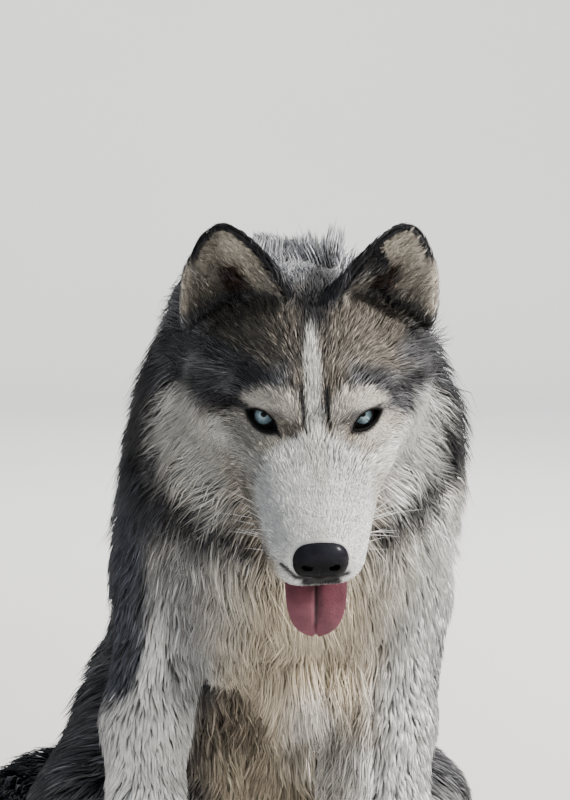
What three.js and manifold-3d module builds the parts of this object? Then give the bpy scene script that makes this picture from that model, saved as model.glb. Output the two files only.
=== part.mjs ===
// A life-size Siberian husky that sits with its head lowered and its tongue out.
// Millimetres, +Z up. The dog faces -Y and its left side is at +X.
import * as THREE from "three";
import { mergeVertices } from "three/addons/utils/BufferGeometryUtils.js";
import Module from "manifold-3d";

const wasm = await Module();
wasm.setup();

// Driving dimensions
const GAP = 0.3; // between neighbouring pieces
const TIP_ROOM = 8; // kept free beyond a coat whose tips are uneven
const BODY_TURN = 10; // degrees that the rump is turned to the dog's right
const HEAD_PITCH = 37; // degrees that the muzzle points below level
const HEAD_YAW = 3; // degrees that the nose is turned to the dog's left
const JAW_OPEN = 17; // degrees
const EYES = [30, -190, 430]; // the point midway between the pupils
const EYE_APART = 37; // from the middle of the face to the middle of an eyeball
const EYE_RADIUS = 11;
const EAR_HEIGHT = 80;
const EAR_HALF_WIDTH = 45;
const EAR_THICK = 5;
const ELBOW_APART = 93; // from the middle of the chest to an elbow
const KNEE_APART = 146; // from the middle of the rump to a knee
const COAT = { head: 4, cheek: 24, neck: 40, body: 26, thigh: 16, leg: 8, foot: 3, tail: 34 };
const CORE = 0.5; // the share of the coat's depth that is solid under the locks
const ROOT_SINK = 9; // how far a lock's root reaches below the core's skin
// Locks of hair: length, width and thickness, the spacing between rows, and how far tips hang
const RUFF = { long: 100, wide: 60, thick: 9, row: 62, hang: 4 };
const CHEEK = { long: 58, wide: 36, thick: 7, row: 30, hang: 4 };
const CHEST = { long: 104, wide: 52, thick: 10, row: 62, hang: 22 };
const BACK = { long: 116, wide: 74, thick: 8, row: 76, hang: 0 };
const BREECH = { long: 88, wide: 56, thick: 8, row: 58, hang: 6 };
const BRUSH = { long: 92, wide: 52, thick: 9, row: 56, hang: 0 };

const rad = THREE.MathUtils.degToRad;
const { clamp, lerp, smoothstep } = THREE.MathUtils;
const vec = (x, y, z) => new THREE.Vector3(x, y, z);
const SIDES = { left: 1, right: -1 };

// A frame places local points: the head, the jaw and the turned rear body each have one
function frame(origin, pitch = 0, yaw = 0, parent = new THREE.Matrix4()) {
  const turn = new THREE.Matrix4().makeRotationZ(rad(yaw));
  const tip = new THREE.Matrix4().makeRotationX(rad(pitch));
  const move = new THREE.Matrix4().makeTranslation(...origin);
  const place = parent.clone().multiply(move).multiply(turn).multiply(tip);
  const back = place.clone().invert();
  return {
    place,
    out: (x, y, z) => vec(x, y, z).applyMatrix4(place),
    into: (p) => p.clone().applyMatrix4(back),
    along: (x, y, z) => vec(x, y, z).transformDirection(place),
  };
}
const WORLD = frame([0, 0, 0]);
const BODY = frame([0, 0, 0], 0, BODY_TURN);
const HEAD = frame(EYES, HEAD_PITCH, HEAD_YAW);
const JAW = frame([0, 42, -42], JAW_OPEN, 0, HEAD.place);

// The distance from p to a form with a round cross-section that is squeezed sideways
function ovalDistance(x, up, radius, flat) {
  const rx = radius * flat;
  const k0 = Math.hypot(x / rx, up / radius);
  const k1 = Math.hypot(x / (rx * rx), up / (radius * radius));
  return k1 < 1e-9 ? -rx : (k0 * (k0 - 1)) / k1;
}

// A limb is a tapered rod with round ends. flat squeezes it along its frame's X
function limb(place, from, to, rFrom, rTo = rFrom, flat = 1) {
  const a = vec(...from);
  const ab = vec(...to).sub(a);
  const span = ab.lengthSq();
  return (world) => {
    const p = place.into(world).sub(a);
    const t = span ? clamp(p.dot(ab) / span, 0, 1) : 0;
    p.addScaledVector(ab, -t);
    const radius = rFrom + (rTo - rFrom) * t;
    return ovalDistance(p.x, Math.hypot(p.y, p.z), radius, flat);
  };
}

// A lump is an ellipsoid with its own three radii, square to its frame
function lump(place, centre, radii) {
  return (world) => {
    const p = place.into(world).sub(vec(...centre));
    const [a, b, c] = radii;
    const k0 = Math.hypot(p.x / a, p.y / b, p.z / c);
    const k1 = Math.hypot(p.x / a ** 2, p.y / b ** 2, p.z / c ** 2);
    return k1 < 1e-9 ? -Math.min(a, b, c) : (k0 * (k0 - 1)) / k1;
  };
}

// Forms run smoothly into one another over the length k
function blend(k, forms) {
  return (p) => {
    let d = Infinity;
    for (const form of forms) {
      const e = form(p);
      if (!Number.isFinite(d)) d = e;
      else {
        const h = Math.max(k - Math.abs(d - e), 0) / k;
        d = Math.min(d, e) - h * h * k * 0.25;
      }
    }
    return d;
  };
}
const grown = (form, by) => (p) => form(p) - by;
const both = (make) => Object.values(SIDES).flatMap(make);

// Torso, neck and the tops of the legs, as flesh without the coat
const trunkForms = [
  limb(BODY, [4, 0, 400], [4, 105, 345], 120, 128, 0.7), // fore ribs
  limb(BODY, [4, 105, 345], [2, 185, 262], 128, 118, 0.72), // rear ribs
  limb(BODY, [2, 185, 262], [0, 236, 175], 118, 98, 0.82), // loin and belly
  limb(BODY, [0, 240, 170], [0, 264, 92], 98, 84, 0.9), // rump
  limb(BODY, [4, 60, 500], [2, 150, 436], 34, 58), // withers
  limb(BODY, [2, 150, 436], [0, 235, 328], 58, 52), // back
  limb(BODY, [0, 235, 328], [0, 300, 190], 52, 40), // croup
  limb(WORLD, [22, -22, 372], [8, -4, 290], 82, 70, 0.9), // fore chest
  limb(WORLD, [29, -88, 466], [26, -15, 428], 60, 80, 1), // neck
  ...both((s) => [
    limb(BODY, [s * 32 + 8, 60, 508], [s * 54 + 20, -30, 390], 26, 38), // shoulder blade
    limb(WORLD, [s * 56 + 20, -36, 372], [s * 78 + 4, 10, 285], 40, 34), // upper arm
    limb(BODY, [s * 42, 266, 118], [s * 62, 230, 110], 66, 58), // top of the thigh
  ]),
];
const trunkFlesh = blend(34, trunkForms);

// A foreleg from inside the shoulder to the wrist
const legX = (s, apart) => s * apart - 6;
const wrist = (s) => [legX(s, 101), -2, 92];
const elbow = (s) => [s * ELBOW_APART + 8, 14, 268];
const forearm = (s) => [legX(s, 102), 5, 160];
const forelegFlesh = (s) =>
  blend(16, [
    limb(WORLD, [s * 62 + 16, -30, 350], elbow(s), 36, 36),
    limb(WORLD, elbow(s), forearm(s), 37, 30, 0.97),
    limb(WORLD, forearm(s), wrist(s), 30, 24),
    limb(WORLD, wrist(s), [legX(s, 100), -16, 42], 24, 22),
  ]);

// A hind leg lies folded: the thigh to the knee, then back down to the hock
const thighFlesh = (s) =>
  blend(22, [
    limb(BODY, [s * 54, 262, 116], [s * KNEE_APART, 130, 59], 70, 38),
    limb(BODY, [s * KNEE_APART, 130, 59], [s * 120, 205, 58], 38, 42),
  ]);
const hock = (s) => [s * 112, 292, 28];
const shinFlesh = (s) =>
  blend(14, [
    limb(BODY, [s * 136, 150, 58], hock(s), 30, 22),
    limb(BODY, hock(s), [s * 128, 160, 24], 24, 22),
  ]);

const tailPath = [
  [-6, 322, 92],
  [-16, 366, 60],
  [-56, 402, 41],
  [-112, 402, 34],
  [-164, 364, 32],
  [-202, 304, 29],
  [-216, 244, 24],
];
const tailRadius = [30, 24, 19, 17, 15, 12, 6];
const tailFlesh = blend(
  12,
  tailPath
    .slice(1)
    .map((to, i) => limb(BODY, tailPath[i], to, tailRadius[i], tailRadius[i + 1])),
);

// The head in its own frame: X to its left, -Y forward, the pupils level with zero
const skullForms = [
  lump(HEAD, [0, 62, 4], [58, 60, 44]), // brain case
  lump(HEAD, [0, 28, 8], [44, 36, 31]), // forehead
  limb(HEAD, [0, -14, -16], [0, -104, -29], 17, 12), // bridge of the muzzle
  ...both((s) => [
    limb(HEAD, [s * 24, 8, 12], [s * 40, 22, 10], 19, 18), // brow
    limb(HEAD, [s * 42, -2, -24], [s * 52, 62, -20], 19, 27), // cheekbone
    lump(HEAD, [s * 40, 56, -42], [30, 42, 36]), // cheek muscle
    limb(HEAD, [s * 17, -14, -34], [s * 11, -99, -41], 30, 20), // side of the muzzle
    limb(HEAD, [s * 30, 0, -42], [s * 14, -97, -51], 17, 13), // upper lip
    limb(HEAD, [s * 35, 18, -54], [s * 30, 12, -74], 13, 10), // corner of the mouth
  ]),
  limb(HEAD, [0, 66, -64], [0, 22, -78], 40, 24), // throat
];
const skullFlesh = blend(16, skullForms);
const jawFlesh = blend(10, [
  ...both((s) => [limb(JAW, [s * 32, -6, -22], [s * 8, -130, -12], 16, 10)]),
  limb(JAW, [0, -20, -28], [0, -134, -13], 15, 11),
]);

const solidOf = (geometry) => {
  const bare = new THREE.BufferGeometry();
  bare.setAttribute("position", geometry.getAttribute("position"));
  bare.setIndex(geometry.getIndex());
  const merged = mergeVertices(bare, 1e-3);
  const vertProperties = new Float32Array(merged.attributes.position.array);
  const triVerts = new Uint32Array(merged.index.array);
  return new wasm.Manifold(new wasm.Mesh({ numProp: 3, vertProperties, triVerts }));
};

// Rows of points, closed by a point at each end, make one closed skin
function closedSkin(first, rows, last) {
  const sides = rows[0].length;
  const points = [first, ...rows.flat(), last];
  const at = (row, i) => 1 + row * sides + (i % sides);
  const faces = [];
  for (let i = 0; i < sides; i++) {
    faces.push(0, at(0, i + 1), at(0, i));
    for (let row = 0; row + 1 < rows.length; row++) {
      const [a, b] = [at(row, i), at(row, i + 1)];
      const [c, d] = [at(row + 1, i), at(row + 1, i + 1)];
      faces.push(a, b, c, b, d, c);
    }
    faces.push(points.length - 1, at(rows.length - 1, i), at(rows.length - 1, i + 1));
  }
  const geometry = new THREE.BufferGeometry().setFromPoints(points).setIndex(faces);
  const solid = solidOf(geometry);
  if (solid.volume() > 0) return solid;
  for (let i = 0; i < faces.length; i += 3) [faces[i], faces[i + 1]] = [faces[i + 1], faces[i]];
  return solidOf(geometry.setIndex(faces));
}

// Looks out from a point inside a form until it meets the form's surface
function surfaceFrom(form, from, way) {
  const p = from.clone();
  let step = Math.max(2, -form(p) * 0.9);
  let reach = 0;
  while (form(p.copy(from).addScaledVector(way, reach + step)) < 0) {
    reach += step;
    step = Math.max(1, -form(p) * 0.8);
  }
  let [low, high] = [reach, reach + step];
  for (let i = 0; i < 12; i++) {
    const mid = (low + high) / 2;
    if (form(p.copy(from).addScaledVector(way, mid)) < 0) low = mid;
    else high = mid;
  }
  return p.copy(from).addScaledVector(way, low);
}

const lineThrough = (line) =>
  line.length > 2 ? new THREE.CatmullRomCurve3(line) : new THREE.LineCurve3(...line);

// The directions that look out square to a line, and leaning ahead by an angle
function lookRound(curve, t, angle, top, lean = 0) {
  const ahead = curve.getTangentAt(t);
  const side = ahead.clone().cross(top).normalize();
  const up = side.clone().cross(ahead);
  const way = side.multiplyScalar(Math.sin(angle)).addScaledVector(up, Math.cos(angle));
  return way.multiplyScalar(Math.cos(lean)).addScaledVector(ahead, Math.sin(lean));
}

// Wraps a skin round a form: looks out all round from stations along a line inside it
function wrap(form, line, stations, sides, domes = 3, top = vec(0, 0, 1)) {
  const curve = lineThrough(line);
  const rows = [];
  const ring = (t, lean) => {
    const from = curve.getPointAt(t);
    const row = [];
    for (let i = 0; i < sides; i++) {
      const angle = (i / sides) * 2 * Math.PI;
      row.push(surfaceFrom(form, from, lookRound(curve, t, angle, top, lean)));
    }
    rows.push(row);
  };
  for (let k = domes; k > 0; k--) ring(0, (-k / (domes + 1)) * (Math.PI / 2));
  for (let i = 0; i <= stations; i++) ring(i / stations, 0);
  for (let k = 1; k <= domes; k++) ring(1, (k / (domes + 1)) * (Math.PI / 2));
  const first = surfaceFrom(form, curve.getPointAt(0), curve.getTangentAt(0).negate());
  const last = surfaceFrom(form, curve.getPointAt(1), curve.getTangentAt(1));
  return closedSkin(first, rows, last);
}

// A box that keeps what lies on the far side of a plane from a point, for cuts
function slab(point, normal, size = 900) {
  const geometry = new THREE.BoxGeometry(size, size, size);
  const aim = new THREE.Quaternion().setFromUnitVectors(vec(0, 0, 1), normal.clone().normalize());
  const centre = point.clone().addScaledVector(normal.clone().normalize(), size / 2);
  geometry.applyMatrix4(new THREE.Matrix4().makeRotationFromQuaternion(aim).setPosition(centre));
  return solidOf(geometry);
}
const floorCut = slab(vec(0, 0, 0), vec(0, 0, -1), 1600);

const largest = (solid) =>
  solid.decompose().reduce((a, b) => (b.volume() > a.volume() ? b : a));
const join = (...solids) => wasm.Manifold.union(solids);

// Repeatable draws, so that no two locks are quite alike
function draws(seed) {
  let state = seed;
  return (low, high) => {
    state = (Math.imul(state, 1664525) + 1013904223) >>> 0;
    return low + (high - low) * (state / 2 ** 32);
  };
}

// The way out of a form at a point
function outward(form, p) {
  const e = 1;
  const slope = (dx, dy, dz) => form(vec(p.x + dx, p.y + dy, p.z + dz));
  return vec(
    slope(e, 0, 0) - slope(-e, 0, 0),
    slope(0, e, 0) - slope(0, -e, 0),
    slope(0, 0, e) - slope(0, 0, -e),
  ).normalize();
}
function settle(form, p, height = 0) {
  for (let i = 0; i < 3; i++) p.addScaledVector(outward(form, p), height - form(p));
  return p;
}

// One flat, tapered lock: a low ridge that leaves the core, follows the lie and ends in a tip.
// coat(share) is the form that the hair fills to that share of its depth
const RISE = [
  { along: 0, share: CORE, wide: 0.62, thick: 1 },
  { along: 0.34, share: 0.72, wide: 1, thick: 1 },
  { along: 0.68, share: 0.92, wide: 0.78, thick: 0.75 },
  { along: 1, share: 1, wide: 0, thick: 0 },
];
function lock(coat, root, lieAt, size, draw, extra = 0) {
  const long = size.long * draw(0.86, 1.14);
  const wide = size.wide * draw(0.86, 1.12);
  const sway = draw(-0.22, 0.22);
  const path = [];
  let p = root.clone();
  RISE.forEach((stage, i) => {
    const form = coat(stage.share);
    const out = outward(form, p);
    const flow = lieAt(p, out);
    const side = flow.clone().cross(out).normalize();
    flow.addScaledVector(side, sway).normalize();
    if (i > 0) p.addScaledVector(flow, (stage.along - RISE[i - 1].along) * long);
    settle(form, p, i === 0 ? -ROOT_SINK : 0);
    p.z -= size.hang * stage.along ** 2;
    path.push({ p: p.clone(), form, stage });
  });
  const sharp = 4 * extra; // a thin edge moves further than a face for the same room
  const ahead = path.at(-1).p.clone().sub(path.at(-2).p).normalize();
  path.at(-1).p.addScaledVector(ahead, sharp);
  const rows = path.slice(0, -1).map(({ p: centre, form, stage }, i) => {
    const out = outward(form, centre);
    const flow = path[i + 1].p.clone().sub(centre).normalize();
    const side = flow.cross(out).normalize();
    const half = (wide * stage.wide) / 2 + sharp;
    const under = -size.thick * stage.thick - extra;
    const edge = (way) => centre.clone().addScaledVector(side, way * half).addScaledVector(out, under);
    return [edge(-1), centre.clone().addScaledVector(out, extra), edge(1)];
  });
  const start = rows[0].reduce((sum, q) => sum.add(q), vec(0, 0, 0)).multiplyScalar(1 / 3);
  return closedSkin(start, rows, path.at(-1).p);
}

// Rows of locks round a line, each row set between the locks of the one before
function locksRound(coat, line, sizeAt, lieAt, { from, to, seed, top = vec(0, 0, 1), keep }) {
  const curve = lineThrough(line);
  const core = coat(CORE);
  const draw = draws(seed);
  const locks = [];
  let t = from;
  for (let row = 0; t < to; row++) {
    const centre = curve.getPointAt(t);
    const ring = [...Array(24).keys()].map((i) =>
      surfaceFrom(core, centre, lookRound(curve, t, (i / 24) * 2 * Math.PI, top)),
    );
    const size = sizeAt(centre);
    let angle = (row % 2) * 0.5 * (size.wide / ring[0].distanceTo(centre));
    const end = angle + 2 * Math.PI;
    while (angle < end) {
      const near = clamp(t + draw(-0.015, 0.015), 0, 1);
      const root = surfaceFrom(core, centre, lookRound(curve, near, angle, top));
      const own = sizeAt(root);
      const step = (own.wide * 0.96) / root.distanceTo(centre);
      if (angle + step * 0.6 < end && keep(root, outward(core, root))) {
        locks.push(lock(coat, root, lieAt, own, draw));
      }
      angle += step;
    }
    t += size.row / curve.getLength();
  }
  return locks;
}

const parts = [];
function add(name, solid, colour, roughness = 0.8) {
  parts.push({ name, solid: largest(solid.subtract(floorCut)), colour, roughness });
}
const without = (solid, ...others) => others.reduce((left, other) => left.subtract(other), solid);

// Colours
const GREY = 0x6f7278;
const DARK = 0x2c2d31;
const WHITE = 0xd9d8d3;
const CREAM = 0xb9b1a2;
const EYE_BLUE = 0x9fc4cf;
const NOSE_BLACK = 0x17171b;
const TONGUE_PINK = 0xb05a68;
const CLAW_HORN = 0x4a4440;

// Trunk: wrapped in one piece, parted at the base of the neck and in front of the rump
const NECK_BASE = vec(14, -20, 440);
const NECK_WAY = vec(0.06, -0.93, 0.36).normalize();
const RUMP_BASE = BODY.out(0, 196, 240);
const RUMP_WAY = BODY.along(0, 0.5, -0.86);
const trunkLine = [
  vec(26, -92, 462),
  BODY.out(0, 20, 415),
  BODY.out(0, 105, 345),
  BODY.out(0, 185, 255),
  BODY.out(0, 250, 130),
];
const aheadBy = (p, point, way) => p.clone().sub(point).dot(way);
function trunkDepth(p) {
  return lerp(COAT.body, COAT.neck, smoothstep(aheadBy(p, NECK_BASE, NECK_WAY), -150, 20));
}
const trunkCoat = (share) => (p) => trunkFlesh(p) - trunkDepth(p) * share;
const trunkShape = (share, extra = 0) => wrap(grown(trunkCoat(share), extra), trunkLine, 12, 20, 3);
const cut = (point, way, gap) => slab(point.clone().addScaledVector(way, gap), way);
const aheadOfNeck = cut(NECK_BASE, NECK_WAY, -GAP);
const behindNeck = cut(NECK_BASE, NECK_WAY.clone().negate(), 0);
const behindRump = cut(RUMP_BASE, RUMP_WAY, -GAP);
const aheadOfRump = cut(RUMP_BASE, RUMP_WAY.clone().negate(), 0);

// The ruff ends in a rounded rim behind the face
const faceRim = (share) => (p) => 34 + (1 - share) * 14 - HEAD.into(p).y;
const neckCoat = (share) => {
  const [trunk, rim] = [trunkCoat(share), faceRim(share)];
  return (p) => -blend(40, [(q) => -trunk(q), (q) => -rim(q)])(p);
};
const neckLine = [HEAD.out(0, 86, -20), vec(22, -60, 440), vec(16, -5, 420)];
const neckShape = (share, extra = 0) => wrap(grown(neckCoat(share), extra), neckLine, 6, 22, 3);

// Head
const headLine = [HEAD.out(0, 70, -4), HEAD.out(0, 0, -16), HEAD.out(0, -94, -37)];
const cheekness = (p) => {
  const { x, y } = HEAD.into(p);
  const sideways = smoothstep(Math.abs(x), 0, 60);
  return smoothstep(y, -10, 75) * (0.6 + 0.4 * sideways);
};
const headCoat = (share) => (p) =>
  skullFlesh(p) - COAT.head - (COAT.cheek - COAT.head) * cheekness(p) * share;
const headUp = HEAD.along(0, 0, 1);
const headShape = (share, extra = 0) =>
  wrap(grown(headCoat(share), extra), headLine, 15, 20, 3, headUp);

const ball = (centre, radius, detail = 14) => {
  const geometry = new THREE.SphereGeometry(radius, detail, detail / 2);
  return solidOf(geometry.translate(centre.x, centre.y, centre.z));
};
const eyeAt = (s) => HEAD.out(s * EYE_APART, 8, -7);

// An almond-shaped shaft along the gaze that opens the lids
function almond(s) {
  const [half, high] = [13, 6.2];
  const shape = new THREE.Shape();
  shape.moveTo(-half, 0);
  shape.quadraticCurveTo(0, high * 2, half, 0);
  shape.quadraticCurveTo(0, -high * 2, -half, 0);
  const geometry = new THREE.ExtrudeGeometry(shape, {
    depth: 30,
    bevelEnabled: false,
    curveSegments: 6,
  });
  const gaze = HEAD.along(s * 0.3, -0.84, 0.45);
  const across = HEAD.along(1, s * 0.36, s * 0.5);
  const side = across.addScaledVector(gaze, -across.dot(gaze)).normalize();
  const basis = new THREE.Matrix4().makeBasis(side, gaze.clone().cross(side), gaze);
  geometry.applyMatrix4(basis.setPosition(eyeAt(s)));
  return solidOf(geometry);
}
function headSolid() {
  let solid = headShape(CORE);
  for (const s of Object.values(SIDES)) {
    solid = join(solid, ball(eyeAt(s), EYE_RADIUS + 2.6, 12));
    solid = without(solid, ball(eyeAt(s), EYE_RADIUS + GAP), almond(s));
  }
  return solid;
}

// Nose leather with two nostrils
const noseFlesh = blend(8, [
  lump(HEAD, [0, -114, -32], [15, 12, 13]),
  ...both((s) => [lump(HEAD, [s * 10, -115, -31], [10, 11, 12])]),
  limb(HEAD, [0, -118, -39], [0, -118, -49], 6, 4),
]);
const noseLine = [HEAD.out(0, -108, -33), HEAD.out(0, -120, -34)];
const nostril = (s) => {
  const path = new THREE.CatmullRomCurve3([
    HEAD.out(s * 5.5, -110, -32),
    HEAD.out(s * 7, -121, -34),
    HEAD.out(s * 12, -128, -34),
  ]);
  const hole = new THREE.Shape().absellipse(0, 0, 2.8, 3.4, 0, 2 * Math.PI);
  const options = { steps: 3, extrudePath: path, curveSegments: 3, bevelEnabled: false };
  return solidOf(new THREE.ExtrudeGeometry(hole, options));
};
const noseShape = () =>
  without(wrap(noseFlesh, noseLine, 3, 16, 3, headUp), nostril(1), nostril(-1));

// Lower jaw and tongue
const jawLine = [JAW.out(0, -14, -26), JAW.out(0, -124, -14)];
const jawShape = (extra = 0) => wrap(grown(jawFlesh, 2 + extra), jawLine, 6, 12, 3, headUp);
const tonguePath = new THREE.CatmullRomCurve3([
  HEAD.out(0, -20, -62),
  HEAD.out(0, -52, -70),
  HEAD.out(0, -80, -77),
  HEAD.out(0, -98, -87),
  HEAD.out(0, -109, -101),
  HEAD.out(0, -114, -116),
]);
function tongueSkin(extra = 0) {
  const rows = [];
  const stations = 9;
  const across = HEAD.along(1, 0, 0);
  for (let i = 0; i <= stations; i++) {
    const t = i / stations;
    const centre = tonguePath.getPointAt(t);
    const up = across.clone().cross(tonguePath.getTangentAt(t)).negate();
    const tipNarrow = Math.sqrt(Math.max(0.02, 1 - ((t - 0.78) / 0.24) ** 2));
    const half = (17 + 6.5 * Math.min(1, t * 1.6)) * (t > 0.78 ? tipNarrow : 1) + extra;
    const thick = 4.4 * (t > 0.78 ? 0.5 + 0.5 * tipNarrow : 1) + extra;
    const groove = t > 0.3 ? 1.8 : 0.8;
    const profile = [
      [-1, 0],
      [-0.7, 0.8],
      [-0.25, 1],
      [0, 1 - groove / 4.4],
      [0.25, 1],
      [0.7, 0.8],
      [1, 0],
      [0.6, -0.8],
      [0, -1],
      [-0.6, -0.8],
    ];
    rows.push(
      profile.map(([x, z]) =>
        centre
          .clone()
          .addScaledVector(across, x * half)
          .addScaledVector(up, z * thick),
      ),
    );
  }
  return closedSkin(tonguePath.getPointAt(0), rows, tonguePath.getPointAt(1));
}

// An ear is a cupped, rounded triangle that opens forward
function ear(s, extra = 0) {
  const base = HEAD.out(s * 54, 82, 38);
  const up = HEAD.along(s * 0.2, 0.02, 1);
  const facing = s > 0 ? HEAD.along(0.32, -0.94, 0.1) : HEAD.along(-0.3, -0.95, 0.1);
  const across = up.clone().cross(facing).normalize();
  const forward = across.clone().cross(up).normalize();
  const [levels, columns] = [8, 8];
  const sheet = (t, u, outward) => {
    const half = EAR_HALF_WIDTH * Math.pow(1 - Math.pow(t, 1.7), 0.62) + extra;
    const bend = rad(78 - 42 * t);
    const a = (u * 2 - 1) * bend;
    const radius = half / Math.sin(bend);
    const rise = (EAR_HEIGHT + 22 + 2 * extra) * t - 22 - extra;
    const thick = outward ? EAR_THICK + extra : -extra;
    return base
      .clone()
      .addScaledVector(up, rise)
      .addScaledVector(across, Math.sin(a) * (radius + thick))
      .addScaledVector(forward, -Math.cos(a) * (radius + thick) + radius * Math.cos(bend));
  };
  const rows = [];
  for (let level = 0; level <= levels; level++) {
    const t = Math.min(level / levels, 0.985);
    const row = [];
    for (let i = 0; i <= columns; i++) row.push(sheet(t, i / columns, false));
    for (let i = columns; i >= 0; i--) row.push(sheet(t, i / columns, true));
    rows.push(row);
  }
  const middle = (row) =>
    row.reduce((sum, p) => sum.add(p), vec(0, 0, 0)).multiplyScalar(1 / row.length);
  const first = rows[0][Math.floor(columns / 2)].clone().lerp(rows[0][Math.floor(columns * 1.5) + 1], 0.5);
  return closedSkin(first, rows, middle(rows.at(-1)));
}

// A foot: four toes with claws in front of one pad
const TOES = [
  { x: -21, reach: 20, size: 11 },
  { x: -7.5, reach: 28, size: 12 },
  { x: 7.5, reach: 28, size: 12 },
  { x: 21, reach: 20, size: 11 },
];
function foot(place, ankle, pad, extra = 0) {
  const [x, y] = pad;
  const sole = blend(8, [
    limb(place, ankle, [x, y + 8, 24], 22, 24),
    lump(place, [x, y, 16], [30, 28, 19]),
  ]);
  const soleLine = [place.out(...ankle), place.out(x, y, 16)];
  const body = wrap(grown(sole, extra), soleLine, 2, 10, 2, vec(0, -1, 0.2));
  const toes = TOES.map((toe) => {
    const from = [x + toe.x * 0.7, y - 4, 20];
    const to = [x + toe.x, y - toe.reach - 8, toe.size];
    const form = limb(place, from, to, toe.size + 1, toe.size);
    return wrap(grown(form, extra), [place.out(...from), place.out(...to)], 1, 8, 1);
  });
  return join(body, ...toes);
}
function claw(place, pad, toe) {
  const [x, y] = pad;
  const tipY = y - toe.reach - 8 - toe.size;
  const rows = [0, 0.4, 0.75].map((t) => {
    const r = 3.2 * (1 - t * 0.62);
    const centre = [x + toe.x, tipY + 6 - 16 * t, 10.5 - 5.5 * t * t];
    return [...Array(6).keys()].map((i) => {
      const a = (i / 6) * 2 * Math.PI;
      return place.out(centre[0] + r * 0.8 * Math.cos(a), centre[1], centre[2] + r * Math.sin(a));
    });
  });
  const root = place.out(x + toe.x, tipY + 6, 10.5);
  return closedSkin(root, rows, place.out(x + toe.x, tipY - 11, 3.6));
}

// Shapes of the legs and the tail. extra grows a shape evenly, to cut room for it
const PAW_TOP = 55;
const HIND_SPLIT = 172;
const above = (z) => slab(vec(0, 0, z), vec(0, 0, 1), 1200);
const below = (z) => slab(vec(0, 0, z), vec(0, 0, -1), 1200);
const legLine = (s) => [vec(s * 68 + 14, -22, 332), vec(...elbow(s)), vec(...wrist(s))];
const legShape = (s, extra = 0) =>
  wrap(grown(forelegFlesh(s), COAT.leg + extra), legLine(s), 9, 12, 3, vec(0, -1, 0));
const forePad = (s) => [legX(s, 100), -46];
const forePawShape = (s, extra = 0) => {
  const toes = foot(WORLD, [legX(s, 100), -20, 40], forePad(s), extra);
  return join(toes, legShape(s, extra).subtract(above(PAW_TOP + 5))).subtract(above(PAW_TOP - GAP));
};
const thighLine = (s) => [BODY.out(s * 60, 250, 110), BODY.out(s * KNEE_APART, 130, 66)];
const thighCoat = (s) => {
  const flesh = thighFlesh(s);
  return (share) => grown(flesh, COAT.thigh * share);
};
const thighShape = (s, share, extra = 0) =>
  wrap(grown(thighCoat(s)(share), extra), thighLine(s), 6, 14, 3);
const shinLine = (s) => [BODY.out(...hock(s)), BODY.out(s * 127, 172, 24)];
const shinShape = (s, extra = 0) =>
  wrap(grown(shinFlesh(s), COAT.foot + extra), shinLine(s), 5, 12, 2);
const hindPad = (s) => [s * 130, 128];
const forward = BODY.along(0, -1, 0);
const backward = forward.clone().negate();
const hindSplit = (gap) => BODY.out(0, HIND_SPLIT - gap, 0);
const hindPawShape = (s, extra = 0) => {
  const toes = foot(BODY, [s * 128, 160, 24], hindPad(s), extra);
  return join(toes, shinShape(s, extra)).subtract(slab(hindSplit(GAP), backward));
};
const tailLine = tailPath.map((p) => BODY.out(...p));
const tailCurve = lineThrough(tailLine);
const tailCoat = (share) => grown(tailFlesh, COAT.tail * share);
const tailShape = (share, extra = 0) => wrap(grown(tailCoat(share), extra), tailLine, 13, 12, 3);
const TAIL_SPLIT = 0.5;
const tailSplit = tailCurve.getPointAt(TAIL_SPLIT);
const tailWay = tailCurve.getTangentAt(TAIL_SPLIT);

// Which way the hair lies, along the skin
const along = (aim, out) => aim.clone().addScaledVector(out, -aim.dot(out)).normalize();
const lieOnTrunk = (p, out) => {
  const rear = smoothstep(p.y, 0, 260);
  return along(BODY.along(0, lerp(0.75, 0.35, rear), lerp(-0.65, -0.95, rear)), out);
};
const lieOnHead = (s) => (p, out) => along(HEAD.along(s * 0.5, 0.9, -0.5), out);
const lieOnThigh = (p, out) => along(BODY.along(0, 0.75, -0.6), out);
function lieOnTail(p, out) {
  let nearest = 0;
  for (let i = 0; i <= 20; i++) {
    const at = (t) => tailCurve.getPointAt(t).distanceTo(p);
    if (at(i / 20) < at(nearest)) nearest = i / 20;
  }
  return along(tailCurve.getTangentAt(nearest), out);
}

// The coat's locks. Each set keeps off the places where another piece grows
const onChest = (p) => p.y < 30 && p.z < 430 && Math.abs(p.x - 16) < 80;
const trunkSize = (p) => (onChest(p) ? CHEST : p.y < 70 ? RUFF : BACK);
const clearOf = (...forms) => (p) => forms.every((form) => form(p) > -4);
const legs = both((s) => [forelegFlesh(s), thighFlesh(s)]);
const tailRoot = limb(BODY, tailPath[0], tailPath[2], 30, 22);
const offLegs = clearOf(...legs, tailRoot);
const bare = (p, out) => !offLegs(p) || p.z < 34 || (out.z < -0.75 && !onChest(p));
const torsoLocks = locksRound(trunkCoat, trunkLine, trunkSize, lieOnTrunk, {
  from: 0.02,
  to: 0.71,
  seed: 11,
  keep: (p, out) => !bare(p, out) && aheadBy(p, NECK_BASE, NECK_WAY) < 6,
});
const rumpLocks = locksRound(trunkCoat, trunkLine, trunkSize, lieOnTrunk, {
  from: 0.735,
  to: 0.97,
  seed: 13,
  keep: (p, out) => !bare(p, out),
});
const neckLocks = locksRound(neckCoat, neckLine, () => RUFF, lieOnTrunk, {
  from: 0.02,
  to: 1,
  seed: 5,
  keep: (p) => headCoat(1)(p) > -6,
});
const tailLocks = locksRound(tailCoat, tailLine, () => BRUSH, lieOnTail, {
  from: 0.16,
  to: 0.9,
  seed: 3,
  keep: (p, out) => out.z > -0.55,
});
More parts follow.
